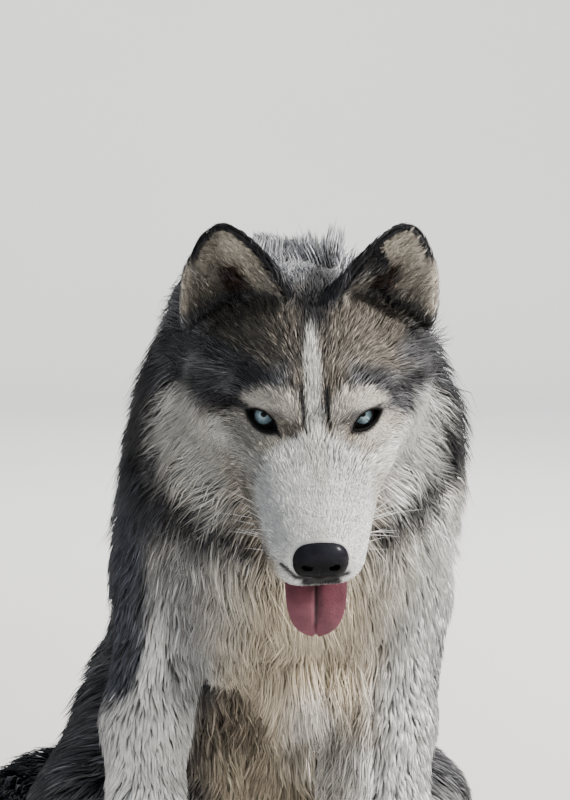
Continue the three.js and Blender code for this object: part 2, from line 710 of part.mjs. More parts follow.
const thighLocks = (s) =>
  locksRound(thighCoat(s), thighLine(s), () => BREECH, lieOnThigh, {
    from: 0.05,
    to: 0.85,
    seed: 7 + s,
    keep: (p, out) => trunkCoat(CORE)(p) > 0 && out.z > -0.35 && p.z > 40,
  });
const cheekPlaces = [
  [62, 26, -36],
  [66, 46, -12],
  [66, 44, -58],
  [66, 68, 8],
  [72, 70, -34],
  [56, 60, -84],
];
function cheekLocks(s, extra = 0) {
  const draw = draws(21 + s);
  return cheekPlaces.map(([x, y, z]) => {
    const root = settle(headCoat(CORE), HEAD.out(s * x, y, z));
    return lock(headCoat, root, lieOnHead(s), CHEEK, draw, extra);
  });
}

// Each piece gives way to the pieces already placed. A lock also gives way to whole pieces
// that come later, so that only the cores meet face to face
const headCoreRoom = headShape(CORE, GAP);
const cheeks = both((s) => cheekLocks(s));
const cheekRoom = both((s) => cheekLocks(s, GAP));
const trunkCore = trunkShape(CORE);
const trunkRoom = trunkShape(CORE, GAP);
const trunkFull = trunkShape(1, GAP);
const laterPieces = both((s) => [legShape(s, GAP), thighShape(s, 1, TIP_ROOM), shinShape(s, GAP)]);
const tailRoom = tailShape(1, TIP_ROOM);
const haired = (locks) => join(trunkCore, without(join(...locks), ...laterPieces, tailRoom));
const tongueRoom = tongueSkin(GAP);
add("torso", without(haired(torsoLocks), aheadOfNeck, behindRump), GREY);
add("rump", without(haired(rumpLocks), aheadOfRump), GREY);
const earRoom = both((s) => [ear(s, GAP)]);
const neckRoom = neckShape(CORE, GAP);
const ruff = join(neckShape(CORE), without(join(...neckLocks), ...earRoom));
const neck = without(ruff, behindNeck, headCoreRoom, ...cheekRoom);
add("neck", neck, CREAM);
add("head", join(headSolid(), ...cheeks), WHITE);
add("tongue", without(tongueSkin(), headCoreRoom), TONGUE_PINK, 0.4);
add("lower_jaw", without(jawShape(), headCoreRoom, trunkFull, tongueRoom), WHITE);
add("nose", without(noseShape(), headCoreRoom), NOSE_BLACK, 0.35);

const tail = join(tailShape(CORE), ...tailLocks);
add("tail_base", without(tail, trunkRoom, cut(tailSplit, tailWay, -GAP)), GREY);
add("tail_end", without(tail, trunkRoom, cut(tailSplit, tailWay.clone().negate(), 0)), GREY);

for (const [side, s] of Object.entries(SIDES)) {
  add(`eye_${side}`, ball(eyeAt(s), EYE_RADIUS), EYE_BLUE, 0.1);
  add(`ear_${side}`, without(ear(s), headCoreRoom, neckRoom, ...cheekRoom), DARK);

  const legBody = without(legShape(s), below(PAW_TOP), trunkRoom);
  add(`foreleg_${side}`, legBody, WHITE);
  add(`fore_paw_${side}`, forePawShape(s), WHITE);

  const thighRoom = thighShape(s, CORE, GAP);
  const shinRoom = shinShape(s, GAP);
  const thigh = join(thighShape(s, CORE), without(join(...thighLocks(s)), shinRoom));
  add(`thigh_${side}`, without(thigh, trunkRoom, tailRoom), GREY);
  const hindRoom = [thighRoom, trunkRoom, tailRoom];
  const hindBack = without(shinShape(s), slab(hindSplit(0), forward), ...hindRoom);
  add(`hind_foot_${side}`, hindBack, WHITE);
  add(`hind_paw_${side}`, without(hindPawShape(s), ...hindRoom), WHITE);

  const forePawRoom = forePawShape(s, GAP);
  const hindPawRoom = hindPawShape(s, GAP);
  TOES.forEach((toe, i) => {
    const foreClaw = without(claw(WORLD, forePad(s), toe), forePawRoom);
    const hindClaw = without(claw(BODY, hindPad(s), toe), hindPawRoom);
    add(`claw_fore_${side}_${i + 1}`, foreClaw, CLAW_HORN, 0.5);
    add(`claw_hind_${side}_${i + 1}`, hindClaw, CLAW_HORN, 0.5);
  });
}

// A piece's mesh, flat shaded, with the points that its solid ended with
function geometryOf(solid) {
  const mesh = solid.getMesh();
  const points = new Float32Array(mesh.numVert * 3);
  for (let i = 0; i < mesh.numVert; i++) {
    points.set(mesh.vertProperties.subarray(i * mesh.numProp, i * mesh.numProp + 3), i * 3);
  }
  const geometry = new THREE.BufferGeometry();
  geometry.setAttribute("position", new THREE.BufferAttribute(points, 3));
  geometry.setIndex(new THREE.BufferAttribute(new Uint32Array(mesh.triVerts), 1));
  const flat = geometry.toNonIndexed();
  flat.computeVertexNormals();
  return flat;
}

const husky = new THREE.Group();
for (const { name, solid, colour, roughness } of parts) {
  const finish = new THREE.MeshStandardMaterial({ color: colour, roughness, metalness: 0 });
  const mesh = new THREE.Mesh(geometryOf(solid), finish);
  mesh.name = name;
  husky.add(mesh);
}

// The origin is on the floor, under the middle of the outline
const middle = new THREE.Box3().setFromObject(husky).getCenter(vec(0, 0, 0));
husky.position.set(-middle.x, -middle.y, 0);

export default husky;
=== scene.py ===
"""A life-size Siberian husky that sits with its head lowered and its tongue out.

Shapes are worked out in millimetres and written in metres. +Z is up, the dog
faces -Y and its left side is at +X.
"""

import math
from collections import namedtuple

import bpy
import numpy as np
from bpy.props import FloatProperty, FloatVectorProperty, PointerProperty
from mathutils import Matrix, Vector
from mathutils.bvhtree import BVHTree
from mathutils.kdtree import KDTree


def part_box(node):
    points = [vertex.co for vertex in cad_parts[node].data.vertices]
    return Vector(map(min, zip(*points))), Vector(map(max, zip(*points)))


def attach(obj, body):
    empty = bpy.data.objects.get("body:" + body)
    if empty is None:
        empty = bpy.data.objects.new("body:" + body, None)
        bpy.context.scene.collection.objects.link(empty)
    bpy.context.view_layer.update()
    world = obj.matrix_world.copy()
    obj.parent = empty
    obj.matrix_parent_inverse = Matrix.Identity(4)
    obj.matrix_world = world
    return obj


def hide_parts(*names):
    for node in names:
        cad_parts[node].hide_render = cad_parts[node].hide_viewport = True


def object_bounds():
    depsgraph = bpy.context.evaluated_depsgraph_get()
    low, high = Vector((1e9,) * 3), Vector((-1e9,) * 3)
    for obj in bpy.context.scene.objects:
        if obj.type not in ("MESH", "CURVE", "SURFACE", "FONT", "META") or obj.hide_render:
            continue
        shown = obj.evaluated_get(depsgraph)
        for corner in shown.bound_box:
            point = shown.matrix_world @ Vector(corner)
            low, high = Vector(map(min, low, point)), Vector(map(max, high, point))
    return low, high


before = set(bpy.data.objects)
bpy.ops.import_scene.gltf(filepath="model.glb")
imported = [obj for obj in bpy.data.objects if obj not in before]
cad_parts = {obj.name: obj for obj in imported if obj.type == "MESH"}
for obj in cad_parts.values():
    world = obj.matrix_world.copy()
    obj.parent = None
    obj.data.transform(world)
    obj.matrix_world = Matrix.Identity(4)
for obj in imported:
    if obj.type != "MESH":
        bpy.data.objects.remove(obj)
CAD_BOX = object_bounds()

bl_info = {
    "name": "Sitting husky",
    "version": (1, 0, 0),
    "blender": (4, 5, 0),
    "location": "View3D > Sidebar > Husky",
    "description": "Builds the skin, coat, eyes, nose and tongue of a sitting husky",
    "category": "Object",
}

MM = 0.001
SIDES = {"left": 1, "right": -1}
FAR = 9e9
CORNERS = [(i, j, k) for i in (0, 1) for j in (0, 1) for k in (0, 1)]


# Numbers and directions


def unit(v):
    """Vectors of length one."""
    v = np.asarray(v, float)
    return v / np.maximum(np.linalg.norm(v, axis=-1, keepdims=True), 1e-9)


def smoothstep(x, low, high):
    """Rises softly from 0 at low to 1 at high."""
    t = np.clip((np.asarray(x, float) - low) / (high - low), 0, 1)
    return t * t * (3 - 2 * t)


def lerp(a, b, t):
    """From a at 0 to b at 1."""
    return a + (b - a) * t


def length_of(v):
    """The length of each row."""
    return np.sqrt(np.einsum("ij,ij->i", v, v))


def both(make):
    """The same thing for the left side and the right."""
    return [make(1), make(-1)]


class Place:
    """A frame that holds local points, such as those of the head."""

    def __init__(self, origin, pitch=0.0, yaw=0.0, parent=None):
        p, w = math.radians(pitch), math.radians(yaw)
        tip = [[1, 0, 0], [0, math.cos(p), -math.sin(p)], [0, math.sin(p), math.cos(p)]]
        turn = [[math.cos(w), -math.sin(w), 0], [math.sin(w), math.cos(w), 0], [0, 0, 1]]
        self.turn = np.array(turn) @ np.array(tip)
        self.origin = np.array(origin, float)
        if parent:
            self.origin = parent.out(*origin)
            self.turn = parent.turn @ self.turn

    def out(self, x, y, z):
        """The world's point for a local one."""
        return self.origin + self.turn @ np.array([x, y, z], float)

    def into(self, points):
        """The world's points in this frame."""
        return (points - self.origin) @ self.turn

    def along(self, x, y, z):
        """The world's direction for a local one."""
        return unit(self.turn @ np.array([x, y, z], float))

    def ways(self, x, y, z):
        """Directions given by columns of numbers."""
        return np.stack(np.broadcast_arrays(x, y, z), -1) @ self.turn.T


# The body's sizes and its turns in degrees, as the solids have them
BODY_TURN = 10
HEAD_PITCH, HEAD_YAW, JAW_OPEN = 37, 3, 17
EYES = np.array([30.0, -190.0, 430.0])
EYE_APART, EYE_BACK, EYE_DROP, EYE_RADIUS = 37, 8, 7, 11
EAR_HEIGHT, EAR_HALF_WIDTH, EAR_THICK = 80, 45, 5
ELBOW_APART, KNEE_APART = 93, 146

# The left eye in the frame says where the world's origin lies
eye_box = [np.array(corner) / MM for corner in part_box("eye_left")]
eye_place = Place(EYES, HEAD_PITCH, HEAD_YAW).out(EYE_APART, EYE_BACK, -EYE_DROP)
ORIGIN = (eye_box[0] + eye_box[1]) / 2 - eye_place
WORLD = Place(ORIGIN)
BODY = Place(ORIGIN, 0, BODY_TURN)
HEAD = Place(ORIGIN + EYES, HEAD_PITCH, HEAD_YAW)
JAW = Place([0, 42, -42], JAW_OPEN, 0, HEAD)


# Solid forms


class Form:
    """A form: its distance at points, and the box that holds it."""

    def __init__(self, distance, low, high):
        self.distance, self.low, self.high = distance, low, high

    def __call__(self, points):
        return self.distance(points)


def limb(place, start, end, r_start, r_end=None, flat=1):
    """A tapered rod with round ends. flat squeezes it along its frame's X."""
    r_end = r_start if r_end is None else r_end
    a, b = place.out(*start), place.out(*end)
    ab, sideways = b - a, place.turn[:, 0]

    def distance(points):
        p = points - a
        t = np.clip(p @ ab / (ab @ ab), 0, 1)
        p -= t[:, None] * ab
        radius = r_start + (r_end - r_start) * t
        if flat == 1:
            return length_of(p) - radius
        x = p @ sideways
        up = np.sqrt(np.maximum(length_of(p) ** 2 - x * x, 0))
        wide = radius * flat
        k0 = np.hypot(x / wide, up / radius)
        k1 = np.hypot(x / wide**2, up / radius**2)
        return k0 * (k0 - 1) / np.maximum(k1, 1e-9)

    r = max(r_start, r_end)
    return Form(distance, np.minimum(a, b) - r, np.maximum(a, b) + r)


def lump(place, centre, radii):
    """An ellipsoid square to its frame."""
    radii = np.array(radii, float)
    middle = place.out(*centre)

    def distance(points):
        p = (points - middle) @ place.turn
        k0 = length_of(p / radii)
        k1 = length_of(p / radii**2)
        return k0 * (k0 - 1) / np.maximum(k1, 1e-9)

    return Form(distance, middle - radii.max(), middle + radii.max())


def soft_min(a, b, k):
    """The nearer of two forms, run together over the length k."""
    h = np.maximum(k - np.abs(a - b), 0) / k
    return np.minimum(a, b) - h * h * k / 4


def blend(k, *forms):
    """Forms that run smoothly into one another over the length k."""

    def distance(points):
        d = forms[0](points)
        for form in forms[1:]:
            d = soft_min(d, form(points), k)
        return d

    low = np.min([form.low for form in forms], 0)
    high = np.max([form.high for form in forms], 0)
    return Form(distance, low, high)


def grown(form, by):
    """The form, larger all round."""
    return Form(lambda points: form(points) - by, form.low - by, form.high + by)


def ball(centre, radius):
    """Distance to a ball."""
    return lambda points: length_of(points - centre) - radius


class Part:
    """One or more forms of the body, worked out only close to their boxes."""

    REACH = 46  # more than any length that parts run together over

    def __init__(self, *forms):
        self.forms = forms

    def __call__(self, points):
        nearest = np.full(len(points), FAR)
        for form in self.forms:
            away = np.maximum(form.low - points, points - form.high)
            d = length_of(np.maximum(away, 0))
            close = d < self.REACH
            if close.any():
                d[close] = form(points[close])
            nearest = np.minimum(nearest, d)
        return nearest


# Flesh without the coat
TRUNK = blend(
    34,
    limb(BODY, (4, 0, 400), (4, 105, 345), 120, 128, 0.7),
    limb(BODY, (4, 105, 345), (2, 185, 262), 128, 118, 0.72),
    limb(BODY, (2, 185, 262), (0, 236, 175), 118, 98, 0.82),
    limb(BODY, (0, 240, 170), (0, 264, 92), 98, 84, 0.9),
    limb(BODY, (4, 60, 500), (2, 150, 436), 34, 58),
    limb(BODY, (2, 150, 436), (0, 235, 328), 58, 52),
    limb(BODY, (0, 235, 328), (0, 300, 190), 52, 40),
    limb(WORLD, (22, -22, 372), (8, -4, 290), 82, 70, 0.9),
    limb(WORLD, (29, -88, 466), (26, -15, 428), 60, 80),
    *both(lambda s: limb(BODY, (s * 32 + 8, 60, 508), (s * 54 + 20, -30, 390), 26, 38)),
    *both(lambda s: limb(WORLD, (s * 56 + 20, -36, 372), (s * 78 + 4, 10, 285), 40, 34)),
    *both(lambda s: limb(BODY, (s * 42, 266, 118), (s * 62, 230, 110), 66, 58)),
)


def leg_x(s, apart):
    """The forelegs stand a little to the dog's right of the middle."""
    return s * apart - 6


def foreleg(s):
    """From inside the shoulder to the pad."""
    elbow = (s * ELBOW_APART + 8, 14, 268)
    forearm = (leg_x(s, 102), 5, 160)
    wrist = (leg_x(s, 101), -2, 92)
    return blend(
        16,
        limb(WORLD, (s * 62 + 16, -30, 350), elbow, 36, 36),
        limb(WORLD, elbow, forearm, 37, 30, 0.97),
        limb(WORLD, forearm, wrist, 30, 24),
        limb(WORLD, wrist, (leg_x(s, 100), -16, 42), 24, 22),
    )


def thigh(s):
    """From the rump to the knee and back, folded."""
    knee = (s * KNEE_APART, 130, 59)
    return blend(
        22,
        limb(BODY, (s * 54, 262, 116), knee, 70, 38),
        limb(BODY, knee, (s * 120, 205, 58), 38, 42),
    )


def shin(s):
    """From the knee to the hock and along the foot."""
    hock = (s * 112, 292, 28)
    return blend(
        14,
        limb(BODY, (s * 136, 150, 58), hock, 30, 22),
        limb(BODY, hock, (s * 128, 160, 24), 24, 22),
    )


TAIL_PATH = [
    (-6, 322, 92),
    (-16, 366, 60),
    (-56, 402, 41),
    (-112, 402, 34),
    (-164, 364, 32),
    (-202, 304, 29),
    (-216, 244, 24),
]
TAIL_RADIUS = [30, 24, 19, 17, 15, 12, 6]
TAIL = blend(
    12,
    *[
        limb(BODY, TAIL_PATH[i], TAIL_PATH[i + 1], TAIL_RADIUS[i], TAIL_RADIUS[i + 1])
        for i in range(len(TAIL_PATH) - 1)
    ],
)

SKULL = blend(
    16,
    lump(HEAD, (0, 62, 4), (58, 60, 44)),
    lump(HEAD, (0, 28, 8), (44, 36, 31)),
    limb(HEAD, (0, -14, -16), (0, -104, -29), 17, 12),
    *both(lambda s: limb(HEAD, (s * 24, 8, 12), (s * 40, 22, 10), 19, 18)),
    *both(lambda s: limb(HEAD, (s * 42, -2, -24), (s * 52, 62, -20), 19, 27)),
    *both(lambda s: lump(HEAD, (s * 40, 56, -42), (30, 42, 36))),
    *both(lambda s: limb(HEAD, (s * 17, -14, -34), (s * 11, -99, -41), 30, 20)),
    limb(HEAD, (-25, -8, -34), (-15.5, -92, -43), 28, 19),
    *both(lambda s: limb(HEAD, (s * 30, 0, -42), (s * 14, -97, -51), 17, 13)),
    *both(lambda s: limb(HEAD, (s * 35, 18, -54), (s * 30, 12, -74), 13, 10)),
    limb(HEAD, (0, 66, -64), (0, 22, -78), 40, 24),
)
LOWER_JAW = blend(
    10,
    *both(lambda s: limb(JAW, (s * 32, -6, -22), (s * 8, -130, -12), 16, 10)),
    limb(JAW, (0, -20, -28), (0, -134, -13), 15, 11),
)

# Each toe's place across the foot, its reach ahead and its radius
TOES = [(-21, 20, 11), (-7.5, 28, 12), (7.5, 28, 12), (21, 20, 11)]


def foot(place, ankle, pad):
    """A pad with four toes and their knuckles in front of it."""
    x, y = pad
    toes = [
        limb(place, (x + tx * 0.7, y - 4, 20), (x + tx, y - reach - 8, size), size + 1, size)
        for tx, reach, size in TOES
    ]
    knuckles = [
        lump(place, (x + tx * 0.9, y - reach * 0.55, 21), (9, 12, 9)) for tx, reach, _ in TOES
    ]
    sole = blend(
        8,
        limb(place, ankle, (x, y + 8, 24), 22, 24),
        lump(place, (x, y, 16), (30, 28, 19)),
    )
    return blend(3.5, sole, *toes, *knuckles)


def fore_foot(s):
    return foot(WORLD, (leg_x(s, 100), -20, 40), (leg_x(s, 100), -46))


def hind_foot(s):
    return foot(BODY, (s * 128, 160, 24), (s * 130, 128))


# Ears: cupped, rounded triangles that open forward


class Ear:
    """An ear's own measures: t runs from its root to its tip, x from its middle."""

    ROOT_DEPTH = 22  # inside the head
    SPAN = EAR_HEIGHT + 20
    TIP = 0.985  # where its edge closes

    def __init__(self, s):
        self.base = HEAD.out(s * 54, 82, 38)
        self.up = HEAD.along(s * 0.2, 0.02, 1)
        facing = HEAD.along(0.32, -0.94, 0.1) if s > 0 else HEAD.along(-0.3, -0.95, 0.1)
        self.across = unit(np.cross(self.up, facing))
        self.forward = np.cross(self.across, self.up)
        self.inward = -s * np.sign(self.across[0])

    @staticmethod
    def half_width(t):
        return EAR_HALF_WIDTH * (1 - np.clip(t, 0, 0.995) ** 1.7) ** 0.62 - 1.5

    @staticmethod
    def half_bend(t):
        """Half the angle that the ear is rolled through, less towards the tip."""
        return np.radians(78 - 42 * np.clip(t, 0, 1))

    def point(self, t, u):
        """A point of the middle layer, with u from edge to edge."""
        half = self.half_width(t)
        bend = self.half_bend(t)
        a = (u * 2 - 1) * bend
        radius = half / np.sin(bend)
        outer = radius + EAR_THICK / 2
        return (
            self.base
            + (self.SPAN * t - self.ROOT_DEPTH)[..., None] * self.up
            + (np.sin(a) * outer)[..., None] * self.across
            + (radius * np.cos(bend) - np.cos(a) * outer)[..., None] * self.forward
        )

    def measures(self, points):
        """t, the way across from -1 outside to 1 inside, the way in from the edge, and
        the height above the middle layer on its lined side."""
        p = points - self.base
        t = (p @ self.up + self.ROOT_DEPTH) / self.SPAN
        x = p @ self.across * self.inward
        half = np.maximum(self.half_width(t), 1)
        edge = np.minimum(half - np.abs(x), (self.TIP - t) * self.SPAN)
        bend = self.half_bend(t)
        radius = half / np.sin(bend)
        outer = radius + EAR_THICK / 2
        layer = radius * np.cos(bend) - np.sqrt(np.maximum(outer**2 - x**2, 0))
        return t, x / half, edge, p @ self.forward - layer

    def sheet(self, levels=40, columns=40):
        """The middle layer as a mesh."""
        t, u = np.meshgrid(np.linspace(0, 0.99, levels), np.linspace(0, 1, columns), indexing="ij")
        faces = [
            (a, a + 1, a + columns + 1, a + columns)
            for i in range(levels - 1)
            for a in range(i * columns, (i + 1) * columns - 1)
        ]
        return self.point(t, u).reshape(-1, 3), faces


EARS = {s: Ear(s) for s in SIDES.values()}


LEATHER, EAR_REACH = EAR_THICK - 1.4, 24


def ear_leather(s):
    """The ear's thin layer of leather. Its distance is known as far as EAR_REACH."""
    points, faces = EARS[s].sheet()
    tree = BVHTree.FromPolygons([tuple(p) for p in points], faces)

    def distance(points):
        d = np.full(len(points), float(EAR_REACH))
        for i, p in enumerate(points):
            *_, away = tree.find_nearest(p, EAR_REACH)
            if away is not None:
                d[i] = away
        return d - LEATHER / 2

    return Form(distance, points.min(0), points.max(0))


# Eyes and their lids: half the opening's width, then its height above and below
LID_HALF, LID_HIGH, LID_LOW = 13.5, 7.4, 5.4
LID_THICK, LID_JOIN, LID_REACH = 2.2, 6, 40
SOCKET_ROOM = 0.2


def eye_axes(s):
    """The eye's middle, then its way out, its way along the lids and its way up."""
    gaze = HEAD.along(s * 0.14, -0.8, 0.58)
    across = HEAD.along(1, s * 0.34, s * 0.5)
    side = unit(across - across @ gaze * gaze)
    middle = HEAD.out(s * EYE_APART, EYE_BACK, -EYE_DROP)
    return middle, gaze, side, np.cross(gaze, side)


def lid_curve(upper):
    """Radius and drop of the arcs that bound the upper and the lower lid."""
    high = np.where(upper, LID_HIGH, LID_LOW)
    radius = (LID_HALF**2 + high**2) / (2 * high)
    return radius, radius - high


def lid_opening(x, y):
    """Distance to the almond between the lids, seen from straight ahead."""
    radius, drop = lid_curve(y > 0)
    return np.hypot(x, np.abs(y) + drop) - radius


def from_eye(s, points):
    """Distance to the lids' opening, the way ahead of the eye's middle and away from it."""
    middle, gaze, side, up = eye_axes(s)
    p = points - middle
    return lid_opening(p @ side, p @ up), p @ gaze, length_of(p)


def lidded(s, d, points):
    """Runs the lids' bulge over the eyeball into the distance d."""
    return soft_min(d, ball(eye_axes(s)[0], EYE_RADIUS + LID_THICK)(points), LID_JOIN)


PARTS = {
    "trunk": Part(TRUNK),
    "head": Part(grown(SKULL, 1.5)),
    "jaw": Part(grown(LOWER_JAW, 1)),
    "foreleg": Part(*both(foreleg)),
    "thigh": Part(*both(thigh)),
    "shin": Part(*both(shin)),
    "fore_foot": Part(*both(fore_foot)),
    "hind_foot": Part(*both(hind_foot)),
    "tail": Part(TAIL),
    "ear": Part(*both(ear_leather)),
}
PART_NAMES = list(PARTS)
# The lengths over which the parts run into the trunk and each other
JOIN = {"head": 30, "jaw": 7, "foreleg": 20, "thigh": 26, "shin": 12}
JOIN |= {"fore_foot": 8, "hind_foot": 8, "tail": 20, "ear": 9}
FLOOR_ROOM = 0.4


def flesh_of(distances):
    """One skin from the distances to the parts."""
    d = distances["trunk"]
    for name, k in JOIN.items():
        d = soft_min(d, distances[name], k)
    return d


def skin_form(points):
    """The skin with its sockets and lids, level with the floor underneath."""
    d = flesh_of({name: part(points) for name, part in PARTS.items()})
    for s in SIDES.values():
        middle = eye_axes(s)[0]
        near = length_of(points - middle) < LID_REACH
        if near.any():
            p = points[near]
            opening, ahead, _ = from_eye(s, p)
            socket = ball(middle, EYE_RADIUS + SOCKET_ROOM)(p)
            lids = np.maximum(lidded(s, d[near], p), -socket)
            d[near] = np.maximum(lids, -np.maximum(opening, -ahead))
    return np.maximum(d, FLOOR_ROOM - points[:, 2])


class Lattice:
    """Distances kept at even steps, read back anywhere in between."""

    def __init__(self, low, high, step):
        self.low, self.step = np.array(low, float), step
        self.count = np.ceil((np.array(high) - self.low) / step).astype(int) + 1
        axes = [self.low[i] + step * np.arange(self.count[i]) for i in range(3)]
        self.points = np.stack(np.meshgrid(*axes, indexing="ij"), -1).reshape(-1, 3)
        self.values = {}

    def read(self, name, points):
        """The kept distance at any points."""
        g = np.clip((points - self.low) / self.step, 0, self.count - 1.001)
        cell = g.astype(int)
        f = g - cell
        _, ny, nz = self.count
        base = (cell[:, 0] * ny + cell[:, 1]) * nz + cell[:, 2]
        values = self.values[name]
        total = 0
        for i, j, k in CORNERS:
            w = [f[:, a] if on else 1 - f[:, a] for a, on in enumerate((i, j, k))]
            total = total + w[0] * w[1] * w[2] * values[base + (i * ny + j) * nz + k]
        return total

    def outward(self, name, points, e=3.0):
        """The way that the distance grows, felt for over the length e."""
        slope = np.empty_like(points)
        for a in range(3):
            shift = np.zeros(3)
            shift[a] = e
            slope[:, a] = self.read(name, points + shift) - self.read(name, points - shift)
        return unit(slope)


# What one step makes and a later one needs
MADE = {}
LATTICE_STEP, LATTICE_ROOM = 6, 14


def measured_body():
    """The body's distances on a lattice that holds the coat's tips too."""
    if "lattice" not in MADE:
        low, high = (np.array(corner) / MM for corner in CAD_BOX)
        lattice = Lattice(low - LATTICE_ROOM, high + LATTICE_ROOM, LATTICE_STEP)
        for name, part in PARTS.items():
            lattice.values[name] = part(lattice.points)
        lattice.values["flesh"] = flesh_of(lattice.values)
        MADE["lattice"] = lattice
    return MADE["lattice"]


# Meshes from forms


def stepped_axis(low, high, fine_low, fine_high, fine, coarse):
    """Places along an axis, closer together through one stretch."""
    before = np.arange(fine_low, low - coarse, -coarse)[::-1]
    within = np.arange(fine_low + fine, fine_high, fine)
    after = np.arange(within[-1] + coarse, high + coarse, coarse)
    return np.concatenate([before, within, after])


NEAR_STEPS, OFF_SKIN = 0.9, 9.0


def values_near_skin(form, axes, lattice):
    """The form's distance close to the skin, and only its sign elsewhere."""
    coarse = lattice.values["flesh"].reshape(lattice.count)
    corners = np.stack([coarse[tuple(slice(o, o - 1 or None) for o in at)] for at in CORNERS])
    crossed = (corners.min(0) < 0) & (corners.max(0) > 0)
    near = crossed | (np.abs(corners).min(0) < lattice.step * NEAR_STEPS)
    cells = [
        np.clip(((a - lattice.low[i]) / lattice.step).astype(int), 0, lattice.count[i] - 2)
        for i, a in enumerate(axes)
    ]
    near = near[np.ix_(*cells)]
    values = np.where(coarse[np.ix_(*cells)] < 0, -OFF_SKIN, OFF_SKIN)
    at = np.argwhere(near)
    points = np.stack([axes[i][at[:, i]] for i in range(3)], 1)
    values[near] = form(points)
    return values


def net(values, axes):
    """A closed quad mesh where values change sign, on a lattice of unequal steps."""
    inside = values < 0
    cell_shape = tuple(n - 1 for n in values.shape)
    count = np.zeros(cell_shape, np.int8)
    for c in CORNERS:
        count += inside[tuple(slice(o, o + n) for o, n in zip(c, cell_shape))]
    cells = np.argwhere((count > 0) & (count < 8))
    return net_points(values, axes, cells), net_faces(inside, cells)


def net_points(values, axes, cells):
    """The middle of the places where the edges of each cell meet the surface."""
    total = np.zeros((len(cells), 3))
    crossings = np.zeros(len(cells))
    for a in CORNERS:
        for axis in range(3):
            if a[axis]:
                continue
            b = tuple(o + (i == axis) for i, o in enumerate(a))
            at_a, at_b = (cells + a).T, (cells + b).T
            va, vb = values[tuple(at_a)], values[tuple(at_b)]
            crossed = (va < 0) != (vb < 0)
            t = np.where(crossed, va / np.where(crossed, va - vb, 1), 0)
            pa = np.stack([axes[i][at_a[i]] for i in range(3)], 1)
            pb = np.stack([axes[i][at_b[i]] for i in range(3)], 1)
            total += np.where(crossed[:, None], pa + (pb - pa) * t[:, None], 0)
            crossings += crossed
    return total / crossings[:, None]


def net_faces(inside, cells):
    """A face for each edge that leaves or enters the form, facing outwards."""
    shape = inside.shape
    cell_shape = tuple(n - 1 for n in shape)
    flat = np.ravel_multi_index(cells.T, cell_shape)
    faces = []
    for axis in range(3):
        low = [slice(1, n - 1) for n in shape]
        high = list(low)
        low[axis], high[axis] = slice(0, shape[axis] - 1), slice(1, shape[axis])
        a, b = inside[tuple(low)], inside[tuple(high)]
        start = np.array([0 if i == axis else 1 for i in range(3)])
        one, two = np.eye(3, dtype=int)[(axis + 1) % 3], np.eye(3, dtype=int)[(axis + 2) % 3]
        for leaving, mask in ((True, a & ~b), (False, ~a & b)):
            edges = np.argwhere(mask) + start
            ring = [edges - one - two, edges - two, edges, edges - one]
            quad = np.stack(
                [np.searchsorted(flat, np.ravel_multi_index(q.T, cell_shape)) for q in ring], 1
            )
            faces.append(quad if leaving else quad[:, ::-1])
    return np.concatenate(faces)


LEAST_SLOPE, FARTHEST_MOVE = 0.3, 1.5


def settled(points, form, e=0.6):
    """Points moved onto a form's surface, whose slope is felt for over the length e."""
    shifts = np.array([(1, -1, -1), (-1, -1, 1), (-1, 1, -1), (1, 1, 1)])
    slope = sum(form(points + s * e)[:, None] * s for s in shifts) / (4 * e)
    steep = np.maximum(length_of(slope), LEAST_SLOPE)
    move = np.clip(form(points) / steep**2, -FARTHEST_MOVE, FARTHEST_MOVE)
    return points - slope * move[:, None]


def small_net(form, low, high, step):
    """A net over the whole of a small box."""
    axes = [np.arange(low[i], high[i] + step, step) for i in range(3)]
    grid = np.stack(np.meshgrid(*axes, indexing="ij"), -1)
    points, faces = net(form(grid.reshape(-1, 3)).reshape(grid.shape[:3]), axes)
    return settled(points, form, step / 3), faces


def new_mesh(name, points, faces):
    """A smooth mesh object from points in millimetres."""
    mesh = bpy.data.meshes.new(name)
    faces = np.asarray(faces)
    mesh.vertices.add(len(points))
    mesh.vertices.foreach_set("co", (np.asarray(points) * MM).astype(np.float32).ravel())
    sides = faces.shape[1]
    mesh.loops.add(faces.size)
    mesh.loops.foreach_set("vertex_index", faces.astype(np.int32).ravel())
    mesh.polygons.add(len(faces))
    mesh.polygons.foreach_set("loop_start", np.arange(0, faces.size, sides, dtype=np.int32))
    mesh.polygons.foreach_set("use_smooth", np.ones(len(faces), bool))
    mesh.update(calc_edges=True)
    mesh.validate()
    obj = bpy.data.objects.new(name, mesh)
    bpy.context.scene.collection.objects.link(obj)
    return obj


def bands(count, around):
    """Faces between each ring of points and the next."""
    faces = []
    for i in range(count - 1):
        for j in range(around):
            a, b = i * around + j, i * around + (j + 1) % around
            faces += [(a, a + around, b), (b, a + around, b + around)]
    return faces


def rows_mesh(name, rows, first, last):
    """A closed mesh from rings of points, with a point at each end."""
    count, around = len(rows), len(rows[0])
    points = np.vstack([*rows, [first], [last]])
    faces = bands(count, around)
    ends = count * around
    last_row = ends - around
    for j in range(around):
        k = (j + 1) % around
        faces += [(ends, j, k), (ends + 1, last_row + k, last_row + j)]
    return new_mesh(name, points, faces)


def paint(obj, name, colours):
    """Keeps a colour at each point."""
    data = obj.data.attributes.new(name, "FLOAT_COLOR", "POINT").data
    rgba = np.ones((len(colours), 4), np.float32)
    rgba[:, :3] = colours
    data.foreach_set("color", rgba.ravel())


def keep_vector(obj, name, vectors):
    """Keeps a vector at each point."""
    data = obj.data.attributes.new(name, "FLOAT_VECTOR", "POINT").data
    data.foreach_set("vector", np.asarray(vectors, np.float32).ravel())


def finished(obj, material, slot, *replaced):
    """Gives a piece its material and its body; slot is not used."""
    obj.data.materials.clear()
    obj.data.materials.append(material)
    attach(obj, "root")
    if replaced:
        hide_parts(*replaced)
    return obj


